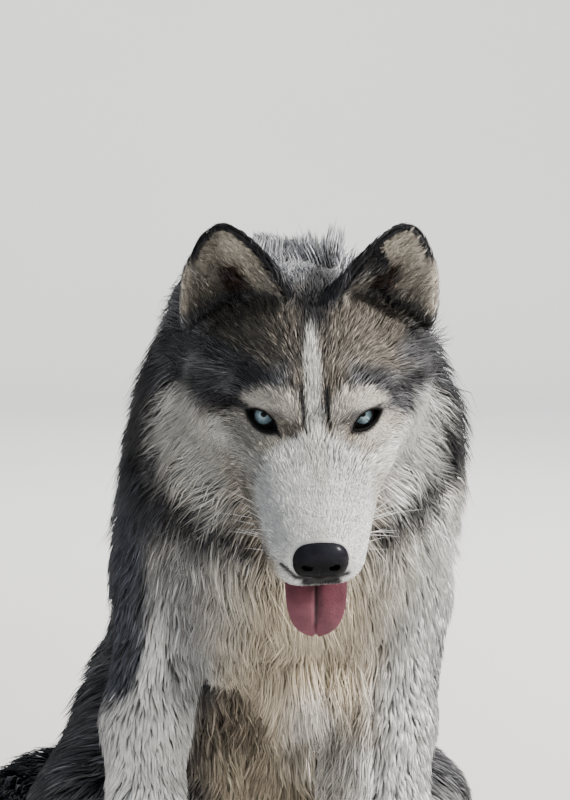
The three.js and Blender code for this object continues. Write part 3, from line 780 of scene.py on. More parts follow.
# Markings. Strokes are placed in millimetres as seen from the front, at the depth of the eyes

VIEWPOINT = np.array([8.2, -2184.0, 583.0])
EYE_DEPTH = -200.0
FADE = 30


def front_view(points):
    """Where points appear from the front, and how far back they lie."""
    p = WORLD.into(points)
    nearer = ((EYE_DEPTH - VIEWPOINT[1]) / (p[:, 1] - VIEWPOINT[1]))[:, None]
    seen = VIEWPOINT[[0, 2]] + (p[:, [0, 2]] - VIEWPOINT[[0, 2]]) * nearer
    return seen, p[:, 1]


def stroke(colour, soft, back, *path, strength=1.0, fade=FADE):
    """A mark along a path of x, z and half-width, on whatever lies in front of back."""
    path = [np.array(at, float) for at in path]
    if len(path) == 1:
        path = path * 2

    def lay(points, seen, depth, below):
        d = np.full(len(seen), FAR)
        for a, b in zip(path, path[1:]):
            ab = b[:2] - a[:2]
            t = np.clip((seen - a[:2]) @ ab / max(ab @ ab, 1e-6), 0, 1)
            away = np.hypot(*(seen - a[:2] - t[:, None] * ab).T)
            d = np.minimum(d, away - lerp(a[2], b[2], t))
        w = smoothstep(d, soft, -soft) * smoothstep(depth, back, back - fade) * strength
        return below + (colour - below) * w[:, None]

    return lay


def stain(form, colour, soft, strength=1.0):
    """A mark inside a form."""

    def lay(points, seen, depth, below):
        w = smoothstep(form(points), soft, -soft) * strength
        return below + (colour - below) * w[:, None]

    return lay


def white_leg(s):
    return limb(WORLD, (s * 92, -30, 232), (s * 98, -20, 0), 44, 66)


def white_hind_foot(s):
    return limb(BODY, (s * 150, 90, 20), (s * 130, 300, 10), 52, 46)


def white_toes(s):
    return limb(WORLD, (s * 98, -40, 30), (s * 100, -110, 14), 58, 52)


def body_marks(c):
    """The trunk, legs and tail, from the ground colour up."""
    return [
        stain(limb(BODY, (4, 90, 480), (0, 300, 200), 70, 80), c["slate"], 50, 0.7),
        stain(limb(WORLD, (14, -150, 330), (10, -110, 120), 104, 92), c["cream"], 34),
        stain(limb(WORLD, (14, -100, 250), (0, 40, 80), 80, 76), c["cream"], 30),
        # Painted shade: the belly between the legs takes a darker copy of the cream
        stain(limb(WORLD, (10, 60, 110), (4, 190, 100), 76, 66), c["cream"] * 0.75, 30),
        *both(lambda s: stain(white_leg(s), c["white"], 22)),
        *both(lambda s: stain(white_hind_foot(s), c["white"], 20)),
        *both(lambda s: stain(white_toes(s), c["white"], 20)),
        stain(limb(BODY, (-204, 280, 10), (-220, 230, 14), 44, 44), c["slate"], 26),
        stain(limb(BODY, (-60, 390, 70), (-170, 340, 60), 30, 24), c["dark"], 22, 0.7),
    ]


def ruff_marks(c):
    """The neck's pale fluff and the dark bands round the cheeks, with painted shade down the dog's
    right neck, under the chin and in the hollows of the breast.
    """
    blue = c["slate"] * 1.5
    shaded_neck_grey = lerp(c["slate"], c["silver"], 0.5)
    return [
        stroke(c["ruff"], 20, 60, (-60, 345, 40), (20, 310, 90), (110, 345, 45)),
        stroke(blue, 6, 90, (-124, 400, 22), (-122, 330, 25), (-119, 270, 25), (-121, 239, 25)),
        # Painted shade: blue-grey down the dog's right neck, on its shaded side
        stroke(shaded_neck_grey, 16, 60, (-66, 325, 20), (-76, 280, 24), (-70, 225, 22), strength=0.75),
        stroke(
            c["white"], 5, 60, (-88, 274, 6), (-91, 240, 9), (-96, 200, 20), (-102, 120, 40),
            strength=0.9,
        ),
        stroke(c["grey"] * 2.2, 8, 60, (120, 286, 7), (96, 268, 8), (70, 262, 8), strength=0.6),
        stroke(c["white"], 12, 70, (127, 356, 14), (130, 318, 16), (120, 280, 16), strength=0.85),
        stroke(c["cream"], 22, 60, (27, 284, 50), (18, 220, 54)),
        stroke(lerp(c["white"], c["cream"], 0.4), 12, 160, (30, 200, 20), (36, 140, 32)),
        # Painted shade in the hollow under the breast, then cream again below it where the belly is
        # lit, painted shade in the fluff over the dog's left foreleg, and painted shadow under the
        # chin
        stroke(c["brown"] * 0.8, 9, 200, (-30, 208, 16), (-26, 184, 18), strength=0.7),
        stroke(c["cream"], 9, 200, (-27, 158, 17), (-27, 130, 22), strength=0.8),
        stroke(c["brown"] * 1.4, 10, 60, (46, 218, 8), (64, 200, 12), (74, 184, 10), strength=0.5),
        stroke(c["brown"] * 0.7, 12, 40, (-12, 346, 10), (0, 330, 13), (66, 334, 11), strength=0.8),
        stroke(c["slate"], 9, 110, (-112, 500, 14), (-118, 440, 15), (-112, 374, 14), (-88, 345, 12)),
    ]


def cheek_marks(c):
    """Pale cheeks, with a dark band round each, painted shade on the dog's right cheek, and painted
    shade on the cheeks beside the muzzle.
    """
    pale, shaded_pale = lerp(c["white"], c["ruff"], 0.3), lerp(c["white"], c["ruff"], 0.7)
    shade = c["dark"] * 1.1
    return [
        # Painted shade: the dog's right cheek takes a duller copy of the pale cheek
        stroke(shaded_pale, 4, -10, (-78, 442, 13), (-73, 418, 21), (-58, 396, 25), (-43, 372, 20)),
        stroke(shaded_pale, 4, -10, (-46, 410, 22), (-10, 395, 20)),
        stroke(pale, 4, -10, (122, 442, 13), (118, 418, 21), (102, 396, 24), (93, 372, 19)),
        stroke(pale, 4, -10, (96, 412, 20), (70, 395, 18)),
        # Painted shade on the cheeks beside the muzzle
        stroke(c["brown"], 10, -10, (-34, 402, 5), (-25, 374, 12), (-14, 346, 12), strength=0.75),
        stroke(c["brown"], 9, -10, (82, 388, 6), (77, 358, 10), strength=0.65),
        stroke(
            shade, 4, 110, (-100, 471, 14), (-107, 440, 12), (-105, 407, 12), (-96, 376, 11.5),
            (-75, 353, 11.5), (-43, 337, 11), (-14, 328, 8),
        ),
        stroke(
            shade, 3.5, 110, (130, 494, 18), (141, 466, 13), (143, 430, 12), (136, 397, 11),
            (120, 374, 9.5), (102, 352, 9.5), (84, 338, 8.5),
        ),
    ]


def cap_marks(c):
    """The silver nape, the grizzled forehead and the dark mask."""
    mid = c["grey"] * 0.85
    return [
        stroke(c["silver"], 9, 150, (-12, 560, 15), (72, 560, 15)),
        stroke(c["silver"], 9, 150, (0, 548, 12), (62, 548, 12), strength=0.8),
        stroke(c["agouti"], 9, -40, (-26, 490, 25), (34, 506, 27), (90, 491, 25)),
        stroke(c["agouti"], 8, -40, (34, 462, 22)),
        stroke(
            c["dark"], 6, 120, (38, 552, 6), (36, 537, 12), (32, 516, 13), (28, 502, 9),
            strength=0.95,
        ),
        stroke(c["dark"], 4, -20, (20, 500, 3), (19, 478, 3), strength=0.5),
        stroke(c["dark"], 4, -20, (38, 500, 3), (40, 478, 3), strength=0.5),
        stroke(mid, 7, 10, (-72, 489, 14), (-43, 475, 15), (-20, 464, 12)),
        stroke(mid * 2, 5, 10, (-76, 476, 3), (-45, 471, 4), strength=0.6),
        stroke(c["dark"], 6, 90, (-89, 486, 11), (-74, 492, 6)),
        stroke(c["dark"], 6, -20, (-24, 468, 9), (-14, 463, 7), strength=0.8),
        stroke(c["dark"], 3.5, 10, (-74, 463, 5), (-43, 445, 6), (-22, 441, 4)),
        stroke(mid, 7, 90, (104, 481, 11), (126, 485, 11)),
        stroke(c["dark"], 6, -20, (74, 463, 7), (82, 463, 6), strength=0.75),
        stroke(c["dark"], 3.5, 90, (89, 452, 3), (113, 463, 5), (135, 476, 9)),
        stroke(c["dark"], 6, 90, (104, 497, 7), (136, 486, 10)),
    ]


def eye_marks(c):
    """Brow spots, and the shaded hair below and between the eyes."""
    tan = lerp(c["cream"], c["white"], 0.5) * 0.8
    shadow = lerp(c["agouti"], c["ruff"], 0.6)
    return [
        stroke(shadow, 5, -90, (-32, 428, 8), (-14, 415, 9), (8, 408, 8)),
        stroke(tan, 5, -90, (71, 413, 9), (89, 428, 9)),
        stroke(c["agouti"], 4, -90, (14, 421, 6), (19, 408, 6)),
        stroke(shadow, 4, -90, (49, 421, 5), (47, 410, 5)),
        stroke(tan, 4, -90, (15, 435, 7), (8, 445, 9.5), (-10, 447, 8), (-20, 446, 4.5)),
        stroke(tan, 4, -90, (46, 435, 7), (54, 445, 9), (71, 447, 8), (81, 445, 4.5)),
    ]


LIP_BACK, LIP_FADE = -214, 10


def muzzle_marks(c):
    """The white muzzle and stripe, the lines beside it, the mouth and round the nose."""
    return [
        stroke(c["white"], 4, -130, (31, 392, 22), (30, 374, 45), (34, 350, 43), (36, 325, 35)),
        stroke(c["ruff"], 5, -130, (36, 341, 8), strength=0.4),
        stroke(c["ruff"] * 0.8, 6, -100, (31, 412, 8), (34, 390, 6), (35, 372, 4), strength=0.45),
        stroke(
            lerp(c["white"], c["ruff"], 0.45), 3, -60, (27, 498, 3), (28, 481, 5.5), (29, 462, 6),
            (30, 441, 5.2), (31, 424, 7), (31, 408, 12),
        ),
        stroke(c["dark"], 1.4, -90, (20.5, 454, 1.2), (21.5, 441, 1.6), (22.5, 424, 1.4)),
        stroke(c["dark"], 1.4, -90, (39, 454, 1.2), (40, 441, 1.8), (41.5, 425, 1.4)),
        stroke(
            c["dark"], 1.6, LIP_BACK, (5, 321, 1.6), (16, 311, 1.8), (36, 308, 2), (56, 314, 1.8),
            fade=LIP_FADE,
        ),
        stroke(c["dark"] * 0.8, 1.5, LIP_BACK, (23, 307, 3), (48, 308, 3), fade=LIP_FADE),
        stain(NOSE, c["dark"] * 0.5, 1.5),
    ]


# The black ring round the lids: how wide it is below and above, and its soft edge
RING_BELOW, RING_ABOVE, RING_SOFT = 3.8, 2.4, 1.8
EYE_NEAR = 30


def lid_marks(c):
    """Black skin round the lids, drawn out at the corners."""
    black = c["dark"] * 0.7

    def ring(s):
        def lay(points, seen, depth, below):
            opening, ahead, away = from_eye(s, points)
            middle, *_, up = eye_axes(s)
            reach = lerp(RING_BELOW, RING_ABOVE, smoothstep((points - middle) @ up, -2, 3))
            w = smoothstep(opening, reach, reach - RING_SOFT) * (ahead > 0) * (away < EYE_NEAR)
            return below + (black - below) * w[:, None]

        return lay

    return [
        *both(ring),
        stroke(black, 1.6, -120, (-1, 425, 3.2), (4.5, 417, 1.4)),
        stroke(c["dark"], 1.6, -120, (-21, 440, 1.6), (-26, 444, 0.8)),
        stroke(c["dark"], 1.6, -120, (59, 424, 1.8), (57, 419, 0.8)),
        stroke(c["dark"], 1.6, -120, (77, 439, 1.6), (82, 442, 0.8)),
    ]


# The ears' black rim is wider inside than outside, and the outer lining has painted shade,
# more on the dog's right
EAR_RIM_INNER, EAR_RIM_OUTER, EAR_RIM_SOFT = 4.6, 1.2, 1.2
OUTER_LINING_SHADE = {1: 0.1, -1: 0.6}
EAR_NEAR = 120


def ear_colours(c, s, t, x, edge, ahead):
    """Pale lining with a dark way in and a black rim, and a dark outside. The lining has painted
    shade on its outer side and painted light and shade near its root, and the way in is darkened as
    painted shade.
    """
    pale = lerp(c["cream"], c["white"], 0.3)
    fluff = smoothstep(x, -0.4, -0.6) * smoothstep(edge, 5, 2.5) * smoothstep(t, 0.75, 0.55)
    # Painted light and shade near the root: the lining is lighter on its inner side, where the deep
    # cup is in shade, and darker on its outer side
    base = lerp(0.8, 1.2, smoothstep(x, -0.1, 0.3))[:, None]
    inside = pale * lerp(base, 1.0, smoothstep(t, 0.1, 0.5)[:, None])
    # Painted shade: the ear's way in, its reddish brown skin painted near black as the shade of the
    # deep opening
    canal = smoothstep(t, 0.64, 0.46) * smoothstep(np.abs(x + 0.22), 0.38, 0.14)
    inside = lerp(inside, c["canal"], canal[:, None])
    # Painted shade on the outer side of the lining
    inside = inside * (1 - OUTER_LINING_SHADE[s] * smoothstep(x, 0, -0.6)[:, None])
    rim = lerp(EAR_RIM_OUTER, EAR_RIM_INNER, smoothstep(x, -0.2, 0.4))
    black = smoothstep(edge, rim + EAR_RIM_SOFT, rim - EAR_RIM_SOFT) * smoothstep(t, 0.1, 0.4)
    inside = lerp(inside, c["dark"], (black * (1 - fluff))[:, None])
    outside = lerp(c["grey"], c["dark"], smoothstep(t, 0.05, 0.5)[:, None])
    outside = lerp(outside, pale, 0.8 * fluff[:, None])
    return lerp(outside, inside, smoothstep(ahead, -0.8, 0.8)[:, None])


def ear_marks(c):
    """The ears' own colours, over those of the head that they grow from."""

    def ear(s):
        def lay(points, seen, depth, below):
            near = length_of(points - EARS[s].base) < EAR_NEAR
            t, *across = EARS[s].measures(points[near])
            share = smoothstep(measured_body().read("ear", points[near]), 7.0, 3.0)
            share *= smoothstep(t, 0.1, 0.26)
            out = below.copy()
            out[near] = lerp(below[near], ear_colours(c, s, t, *across), share[:, None])
            return out

        return lay

    return both(ear)


def palette(settings):
    """The coat's colours as the user has them."""
    return {name: np.array(getattr(settings, name)) for name in settings.__annotations__}


# Later marks lie over earlier ones
MARKS = (
    body_marks, ruff_marks, cheek_marks, cap_marks, eye_marks, muzzle_marks, lid_marks, ear_marks,
)


def markings(points, c):
    """The colour of the coat at each point."""
    seen, depth = front_view(points)
    colours = np.broadcast_to(c["grey"], points.shape).copy()
    for group in MARKS:
        for lay in group(c):
            colours = lay(points, seen, depth, colours)
    return colours


# Materials


def node_material(name):
    """A new material with its nodes and its shader."""
    material = bpy.data.materials.new(name)
    material.use_nodes = True
    tree = material.node_tree
    return material, tree, tree.nodes["Principled BSDF"]


def add_node(tree, kind, **settings):
    """A node with values on its sockets or on itself."""
    node = tree.nodes.new(kind)
    for key, value in settings.items():
        if key in node.inputs:
            node.inputs[key].default_value = value
        else:
            setattr(node, key, value)
    return node


def fixed(shader, **values):
    """Plain values on the shader's own sockets."""
    for name, value in values.items():
        shader.inputs[name.replace("_", " ")].default_value = value


def tinted(tree, shader, colour, amount, low, high):
    """Multiplies a painted colour by a texture brought between low and high."""
    link = tree.links.new
    span = add_node(tree, "ShaderNodeMapRange")
    ends = {"From Min": 0.3, "From Max": 0.7, "To Min": low, "To Max": high}
    for name, value in ends.items():
        span.inputs[name].default_value = value
    link(amount, span.inputs["Value"])
    scaled = add_node(tree, "ShaderNodeVectorMath", operation="SCALE")
    link(colour, scaled.inputs[0])
    link(span.outputs["Result"], scaled.inputs["Scale"])
    link(scaled.outputs["Vector"], shader.inputs["Base Color"])


def raised(tree, shader, height, strength, distance):
    """Relief finer than the mesh."""
    relief = add_node(tree, "ShaderNodeBump", Strength=strength, Distance=distance)
    tree.links.new(height, relief.inputs["Height"])
    tree.links.new(relief.outputs["Normal"], shader.inputs["Normal"])


def short_hair_material(name):
    """The skin's short hair: painted colour with a fine grain."""
    material, tree, shader = node_material(name)
    fixed(shader, Roughness=0.7, Specular_IOR_Level=0.2)
    colour = add_node(tree, "ShaderNodeAttribute", attribute_name="coat")
    where = add_node(tree, "ShaderNodeTexCoord")
    grain = add_node(tree, "ShaderNodeTexNoise", Scale=900.0, Detail=3.0, Roughness=0.6)
    tree.links.new(where.outputs["Object"], grain.inputs["Vector"])
    tinted(tree, shader, colour.outputs["Color"], grain.outputs["Fac"], 0.7, 1.15)
    raised(tree, shader, grain.outputs["Fac"], 0.6, 0.0008)
    return material


def long_hair_material(name):
    """Tufts: painted colour with fine strands that run along them."""
    material, tree, shader = node_material(name)
    fixed(shader, Roughness=0.6, Specular_IOR_Level=0.16, Sheen_Weight=0.03, Sheen_Roughness=0.4)
    colour = add_node(tree, "ShaderNodeAttribute", attribute_name="coat")
    along = add_node(tree, "ShaderNodeAttribute", attribute_name="strand")
    strands = add_node(tree, "ShaderNodeTexNoise", Scale=2.4, Detail=2.0, Roughness=0.6)
    tree.links.new(along.outputs["Vector"], strands.inputs["Vector"])
    tinted(tree, shader, colour.outputs["Color"], strands.outputs["Fac"], 0.68, 1.28)
    raised(tree, shader, strands.outputs["Fac"], 0.5, 0.0005)
    return material


# Moist skin: scale and depth of its pebbling, its shine, and the wet coat's share and blur
WET = {
    "nose_skin": (900, 0.0005, 0.02, 0.1, 0.2),
    "tongue_flesh": (700, 0.0004, 0.14, 0.2, 0.12),
    "lid_skin": (1400, 0.0002, 0.02, 0.03, 0.12),
}


def wet_material(name):
    """Moist skin: painted colour, cloudy patches and fine pebbling under a wet coat."""
    material, tree, shader = node_material(name)
    scale, depth, shine, wet, blur = WET[name]
    fixed(shader, Roughness=0.5, Specular_IOR_Level=shine, Coat_Weight=wet, Coat_Roughness=blur)
    colour = add_node(tree, "ShaderNodeAttribute", attribute_name="coat")
    where = add_node(tree, "ShaderNodeTexCoord")
    cells = add_node(tree, "ShaderNodeTexVoronoi", Scale=scale)
    patches = add_node(tree, "ShaderNodeTexNoise", Scale=scale * 0.12, Detail=4.0)
    tree.links.new(where.outputs["Object"], cells.inputs["Vector"])
    tree.links.new(where.outputs["Object"], patches.inputs["Vector"])
    tinted(tree, shader, colour.outputs["Color"], patches.outputs["Fac"], 0.72, 1.2)
    raised(tree, shader, cells.outputs["Distance"], 0.5, depth)
    return material


def eye_material(name):
    """A painted iris with fine fibres under a clear coat."""
    material, tree, shader = node_material(name)
    fixed(shader, Roughness=0.35, Coat_Weight=1.0, Coat_Roughness=0.02)
    colour = add_node(tree, "ShaderNodeAttribute", attribute_name="coat")
    along = add_node(tree, "ShaderNodeAttribute", attribute_name="strand")
    fibres = add_node(tree, "ShaderNodeTexNoise", Scale=3.0, Detail=3.0)
    tree.links.new(along.outputs["Vector"], fibres.inputs["Vector"])
    tinted(tree, shader, colour.outputs["Color"], fibres.outputs["Fac"], 0.7, 1.25)
    return material


def horn_material(name):
    """Smooth dark horn, streaked a little."""
    material, tree, shader = node_material(name)
    fixed(shader, Roughness=0.32)
    where = add_node(tree, "ShaderNodeTexCoord")
    grain = add_node(tree, "ShaderNodeTexNoise", Scale=240.0, Detail=4.0)
    tree.links.new(where.outputs["Object"], grain.inputs["Vector"])
    ramp = add_node(tree, "ShaderNodeValToRGB")
    ramp.color_ramp.elements[0].color = (0.03, 0.026, 0.024, 1)
    ramp.color_ramp.elements[1].color = (0.13, 0.11, 0.1, 1)
    tree.links.new(grain.outputs["Fac"], ramp.inputs["Fac"])
    tree.links.new(ramp.outputs["Color"], shader.inputs["Base Color"])
    return material


def floor_material(name, colour):
    """Matt, with clouds that can hardly be seen."""
    material, tree, shader = node_material(name)
    fixed(shader, Roughness=0.9)
    where = add_node(tree, "ShaderNodeTexCoord")
    cloud = add_node(tree, "ShaderNodeTexNoise", Scale=0.8, Detail=2.0)
    tree.links.new(where.outputs["Object"], cloud.inputs["Vector"])
    paint_pot = add_node(tree, "ShaderNodeRGB")
    paint_pot.outputs[0].default_value = (*colour, 1)
    tinted(tree, shader, paint_pot.outputs[0], cloud.outputs["Fac"], 0.98, 1.02)
    return material


def shared_material(name, make):
    """The material of that name, made the first time it is asked for."""
    return bpy.data.materials.get(name) or make(name)


# Skin

FLESH_NODES = ["torso", "rump", "neck", "head", "lower_jaw", "tail_base", "tail_end"]
FLESH_NODES += [
    f"{node}_{side}"
    for node in ("ear", "foreleg", "fore_paw", "thigh", "hind_foot", "hind_paw")
    for side in SIDES
]
HEAD_NODES = ["head", "lower_jaw", "ear_left", "ear_right"]
SKIN_ROOM = 6


def build_skin(settings):
    """One skin over the whole body, with a finer mesh on the head."""
    low, high = (np.array(corner) / MM for corner in CAD_BOX)
    head_low = np.min([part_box(node)[0] for node in HEAD_NODES], 0) / MM
    head_high = np.max([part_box(node)[1] for node in HEAD_NODES], 0) / MM
    steps = settings.skin.head_step / MM, settings.skin.body_step / MM
    axes = [
        stepped_axis(low[i] - SKIN_ROOM, high[i] + SKIN_ROOM, head_low[i], head_high[i], *steps)
        for i in range(3)
    ]
    points, faces = net(values_near_skin(skin_form, axes, measured_body()), axes)
    points = settled(points, skin_form)
    points[:, 2] = np.maximum(points[:, 2], FLOOR_ROOM)
    skin = new_mesh("skin", points, faces)
    # Painted shade: the skin is darkened by its shade setting, as it lies in the coat's shade
    paint(skin, "coat", markings(points, palette(settings.coat)) * settings.skin.shade)
    finished(skin, shared_material("skin_short_hair", short_hair_material), "coat_grey", *FLESH_NODES)
    MADE["skin"] = points, faces


# Coat


# A tuft's spacing, rings, size of locks, pull into them and width in spacings
Look = namedtuple("Look", "spacing rings lock pull width")
# More cubes than lie beside one another in the model
CUBES_ACROSS = 4096
# Roots tried for each one wanted
TRIES = 4


def tubes(path, widths, thicks, across, out):
    """Closed three-sided tufts that taper to a point. path is tufts x rings x 3."""
    n, rings = path.shape[:2]
    columns = []
    for k in range(rings - 1):
        w, h = widths[:, k, None] / 2, thicks[:, k, None] / 2
        centre, a, o = path[:, k], across[:, k], out[:, k]
        columns += [centre - a * w - o * h, centre + o * h, centre + a * w - o * h]
    columns.append(path[:, -1])
    per = len(columns)
    faces = [(0, 1, 2)]
    for k in range(rings - 2):
        for i in range(3):
            a, b = 3 * k + i, 3 * k + (i + 1) % 3
            faces += [(a, a + 3, b), (b, a + 3, b + 3)]
    last = 3 * (rings - 2)
    faces += [(last + i, per - 1, last + (i + 1) % 3) for i in range(3)]
    faces = np.array(faces)[None] + (np.arange(n) * per)[:, None, None]
    return np.stack(columns, 1).reshape(-1, 3), faces.reshape(-1, 3), per


def ring_of(rings):
    """The ring that each point of a tube belongs to."""
    return np.append(np.repeat(np.arange(rings - 1), 3), rings - 1)


def tube_places(rings):
    """How far across a tube, from -0.5 to 0.5, and along it each of its points is."""
    return np.append(np.tile([-0.5, 0, 0.5], rings - 1), 0), ring_of(rings) / (rings - 1)


def cube_keys(points, size):
    """A number for the cube of space that each point is in."""
    cube = np.floor(points / size).astype(np.int64)
    return (cube[:, 0] * CUBES_ACROSS + cube[:, 1]) * CUBES_ACROSS + cube[:, 2]


def scatter(points, faces, rng, spacing):
    """Roots spread evenly over a quad mesh: one in each small cube of space."""
    a, b, c, d = (points[faces[:, i]] for i in range(4))
    area = length_of(np.cross(c - a, d - b)) / 2
    pick = rng.choice(len(faces), int(area.sum() / spacing**2 * TRIES), p=area / area.sum())
    u, v = rng.random((2, len(pick), 1))
    roots = lerp(lerp(a[pick], b[pick], u), lerp(d[pick], c[pick], u), v)
    _, first = np.unique(cube_keys(roots, spacing), return_index=True)
    return roots[np.sort(first)]


def shares(points, sharp=9.0):
    """How much say each part of the body has at each point."""
    d = np.stack([measured_body().read(name, points) for name in PARTS], 1)
    w = np.exp(-(d - d.min(1, keepdims=True)) / sharp)
    return w / w.sum(1, keepdims=True)


def share_of(name, weights):
    """How much say one part has, from what all of them have."""
    return weights[:, PART_NAMES.index(name)]


def tail_way(points):
    """Along the tail."""
    path = np.array([BODY.out(*p) for p in TAIL_PATH])
    ways = unit(np.diff(path, axis=0))
    middles = (path[1:] + path[:-1]) / 2
    d = np.linalg.norm(points[:, None] - middles[None], axis=2)
    w = np.exp(-(d - d.min(1, keepdims=True)) / 15)
    return unit((w[:, :, None] * ways[None]).sum(1))


def face_way(points):
    """Away from the nose, and further back away from between the eyes."""
    head = HEAD.into(points)
    back = smoothstep(head[:, 1], -50, 30)
    centre = np.stack([0 * back, lerp(-125, -5, back), lerp(-40, -12, back)], 1)
    away = head - centre
    away[:, 0] *= lerp(1, 1.9, back * smoothstep(head[:, 2], -10, 10))
    way = unit(away) @ HEAD.turn.T
    level = WORLD.into(points)[:, 2]
    way[:, 2] -= 0.9 * smoothstep(np.abs(head[:, 0]), 30, 90) * smoothstep(level, 500, 420)
    way[:, 1] += 0.25
    return way


def trunk_way(points):
    """Down the chest, outwards on the ruff, and back over the nape."""
    x, _, z = WORLD.into(points).T
    aside = np.clip((x - 22) / 110, -1, 1)
    ruff = smoothstep(z, 290, 390)
    nape = smoothstep(z, 440, 520)[:, None]
    rear = smoothstep(BODY.into(points)[:, 1], 0, 130)[:, None]
    front = WORLD.ways(aside * lerp(0.3, 1.0, ruff), 0.15 + 0.2 * ruff, lerp(-1, -0.6, ruff))
    front = lerp(front, WORLD.ways(aside * 0.3, 0.95, 0.1), nape)
    return lerp(front, BODY.ways(0 * x, 0.55, -0.85), rear)


def thigh_way(points):
    """Outwards and down."""
    x = BODY.into(points)[:, 0]
    return BODY.ways(np.sign(x) * 0.65, 0.15, -0.75 + 0 * x)


def ear_way(points):
    """Towards the tip, and outwards to the edges on the lining."""
    way = np.zeros_like(points)
    for s, ear in EARS.items():
        own = (points - ORIGIN - np.array([EYES[0], 0, 0])) @ HEAD.turn[:, 0] * s > 0
        _, x, _, ahead = ear.measures(points[own])
        spread = (x * (ahead > 0) * ear.inward * 0.6)[:, None]
        way[own] = ear.up + spread * ear.across
    return way


def lie(points, weights):
    """Which way the hair points, before it is laid on the skin."""
    flow = {
        "trunk": trunk_way(points),
        "head": face_way(points),
        "jaw": HEAD.along(0, 0.9, -0.3),
        "foreleg": WORLD.along(0, 0.25, -0.95),
        "thigh": thigh_way(points),
        "shin": BODY.along(0, -0.5, -0.8),
        "fore_foot": WORLD.along(0, -0.85, -0.5),
        "hind_foot": BODY.along(0, -0.85, -0.5),
        "tail": tail_way(points),
        "ear": ear_way(points),
    }
    return unit(sum(weights[:, i : i + 1] * flow[name] for i, name in enumerate(PART_NAMES)))


# What each part grows: depth of the coat and length of its hair
GROWTH = {
    "trunk": (24, 58),
    "head": (3.6, 12),
    "jaw": (3, 9),
    "foreleg": (8, 24),
    "thigh": (13, 42),
    "shin": (5, 20),
    "fore_foot": (3, 11),
    "hind_foot": (3, 11),
    "tail": (27, 66),
    "ear": (1.6, 8),
}


# What the coat gains on the cheeks, up the neck and in the ears, what the nape loses,
# and the shares that grow on the muzzle and round the lids
CHEEK_GAIN, NECK_GAIN, NAPE_LOSS = (20, 28), (12, 8), (8, 18)
EAR_FRINGE, EAR_RIM = (3, 14), (1.0, 4)
MUZZLE_SHARE, LID_SHARE = 0.42, 0.22
NECK_BASE, UP_THE_NECK = np.array([14, -20, 440]), unit([0.06, -0.93, 0.36])
# Where the coat stands out more: middle, reach, and what it gains
FULLER = [
    (WORLD.out(122, -50, 480), 75, (17, 12)),
    (WORLD.out(72, -12, 538), 72, (19, 30)),
    (BODY.out(126, 120, 225), 85, (13, 8)),
]


def spread_over(places, amounts):
    """What depth and length change by, where the places are from 0 to 1."""
    return places[:, None] * np.array(amounts)


def growth_at(points, weights):
    """Depth of the coat and length of the hair at each root."""
    values = weights @ np.array([GROWTH[name] for name in PART_NAMES])
    trunk, on_head, ear = (share_of(name, weights) for name in ("trunk", "head", "ear"))
    head, at = HEAD.into(points), WORLD.into(points)
    cheek = smoothstep(head[:, 1], -10, 75) * lerp(0.5, 1, smoothstep(np.abs(head[:, 0]), 10, 60))
    cheek *= lerp(1, 0.22, smoothstep(head[:, 2], 4, 36))
    values += spread_over(on_head * cheek, CHEEK_GAIN)
    neck = smoothstep((at - NECK_BASE) @ UP_THE_NECK, -150, 20)
    values += spread_over(trunk * neck, NECK_GAIN)
    values -= spread_over(trunk * smoothstep(at[:, 2], 470, 530), NAPE_LOSS)
    for middle, reach, gain in FULLER:
        values += spread_over(trunk * smoothstep(length_of(points - middle), reach, 0), gain)
    muzzle = smoothstep(head[:, 1], -20, -80) * (on_head + share_of("jaw", weights))
    values *= lerp(1, MUZZLE_SHARE, muzzle)[:, None]
    for s in SIDES.values():
        opening, ahead, away = from_eye(s, points)
        near = (ahead > -6) & (away < 60)
        values *= np.where(near, lerp(LID_SHARE, 1, smoothstep(opening, 1, 24)), 1)[:, None]
        t, _, edge, ahead = EARS[s].measures(points)
        fringe = ear * (ahead > 0) * smoothstep(t, 0.75, 0.3)
        rim = ear * smoothstep(edge, 7, 2) * smoothstep(t, 0.2, 0.5)
        values += spread_over(fringe, EAR_FRINGE) + spread_over(rim, EAR_RIM)
    return values.T


# How hair wanders from its lie across space and from lock to lock, in radians on the
# short hair and on the trunk, and from tuft to tuft
WAVE_WAY, WAVE_STEP, WAVE_SIZE = np.array([0.13, 0.06, 0.1]), 1.3, (0.08, 0.26)
LOCK_MIX, LOCK_SWAY, TUFT_SWAY = np.array([12.9, 78.2, 37.7]), (0.06, 0.36), 0.11
# The shares of its depth and length that a tuft may have, and how much locks differ in depth
DEPTHS, LENGTHS, LOCK_DEPTH = (0.8, 1.02), (0.8, 1.15), 0.08
# Hairs that stand out of the coat: their share, reach and width
STRAYS, STRAY_REACH, STRAY_WIDTH = 0.09, (1.1, 1.4), 0.5
ROOT_SINK, OFF_FLOOR = 1.2, 1.2


def lock_wave(roots, size):
    """A number from -1 to 1 that the roots in one lock have in common."""
    return np.sin(np.floor(roots / size) @ LOCK_MIX)


def flow_at(points, out, sway, wave):
    """The way that the hair runs along the skin."""
    weights = shares(points)
    flow = lie(points, weights)
    flow = unit(flow - np.einsum("ij,ij->i", flow, out)[:, None] * out)
    wave = np.sin(wave) * lerp(*WAVE_SIZE, share_of("trunk", weights))
    return unit(flow + np.cross(flow, out) * (sway + wave[:, None]))


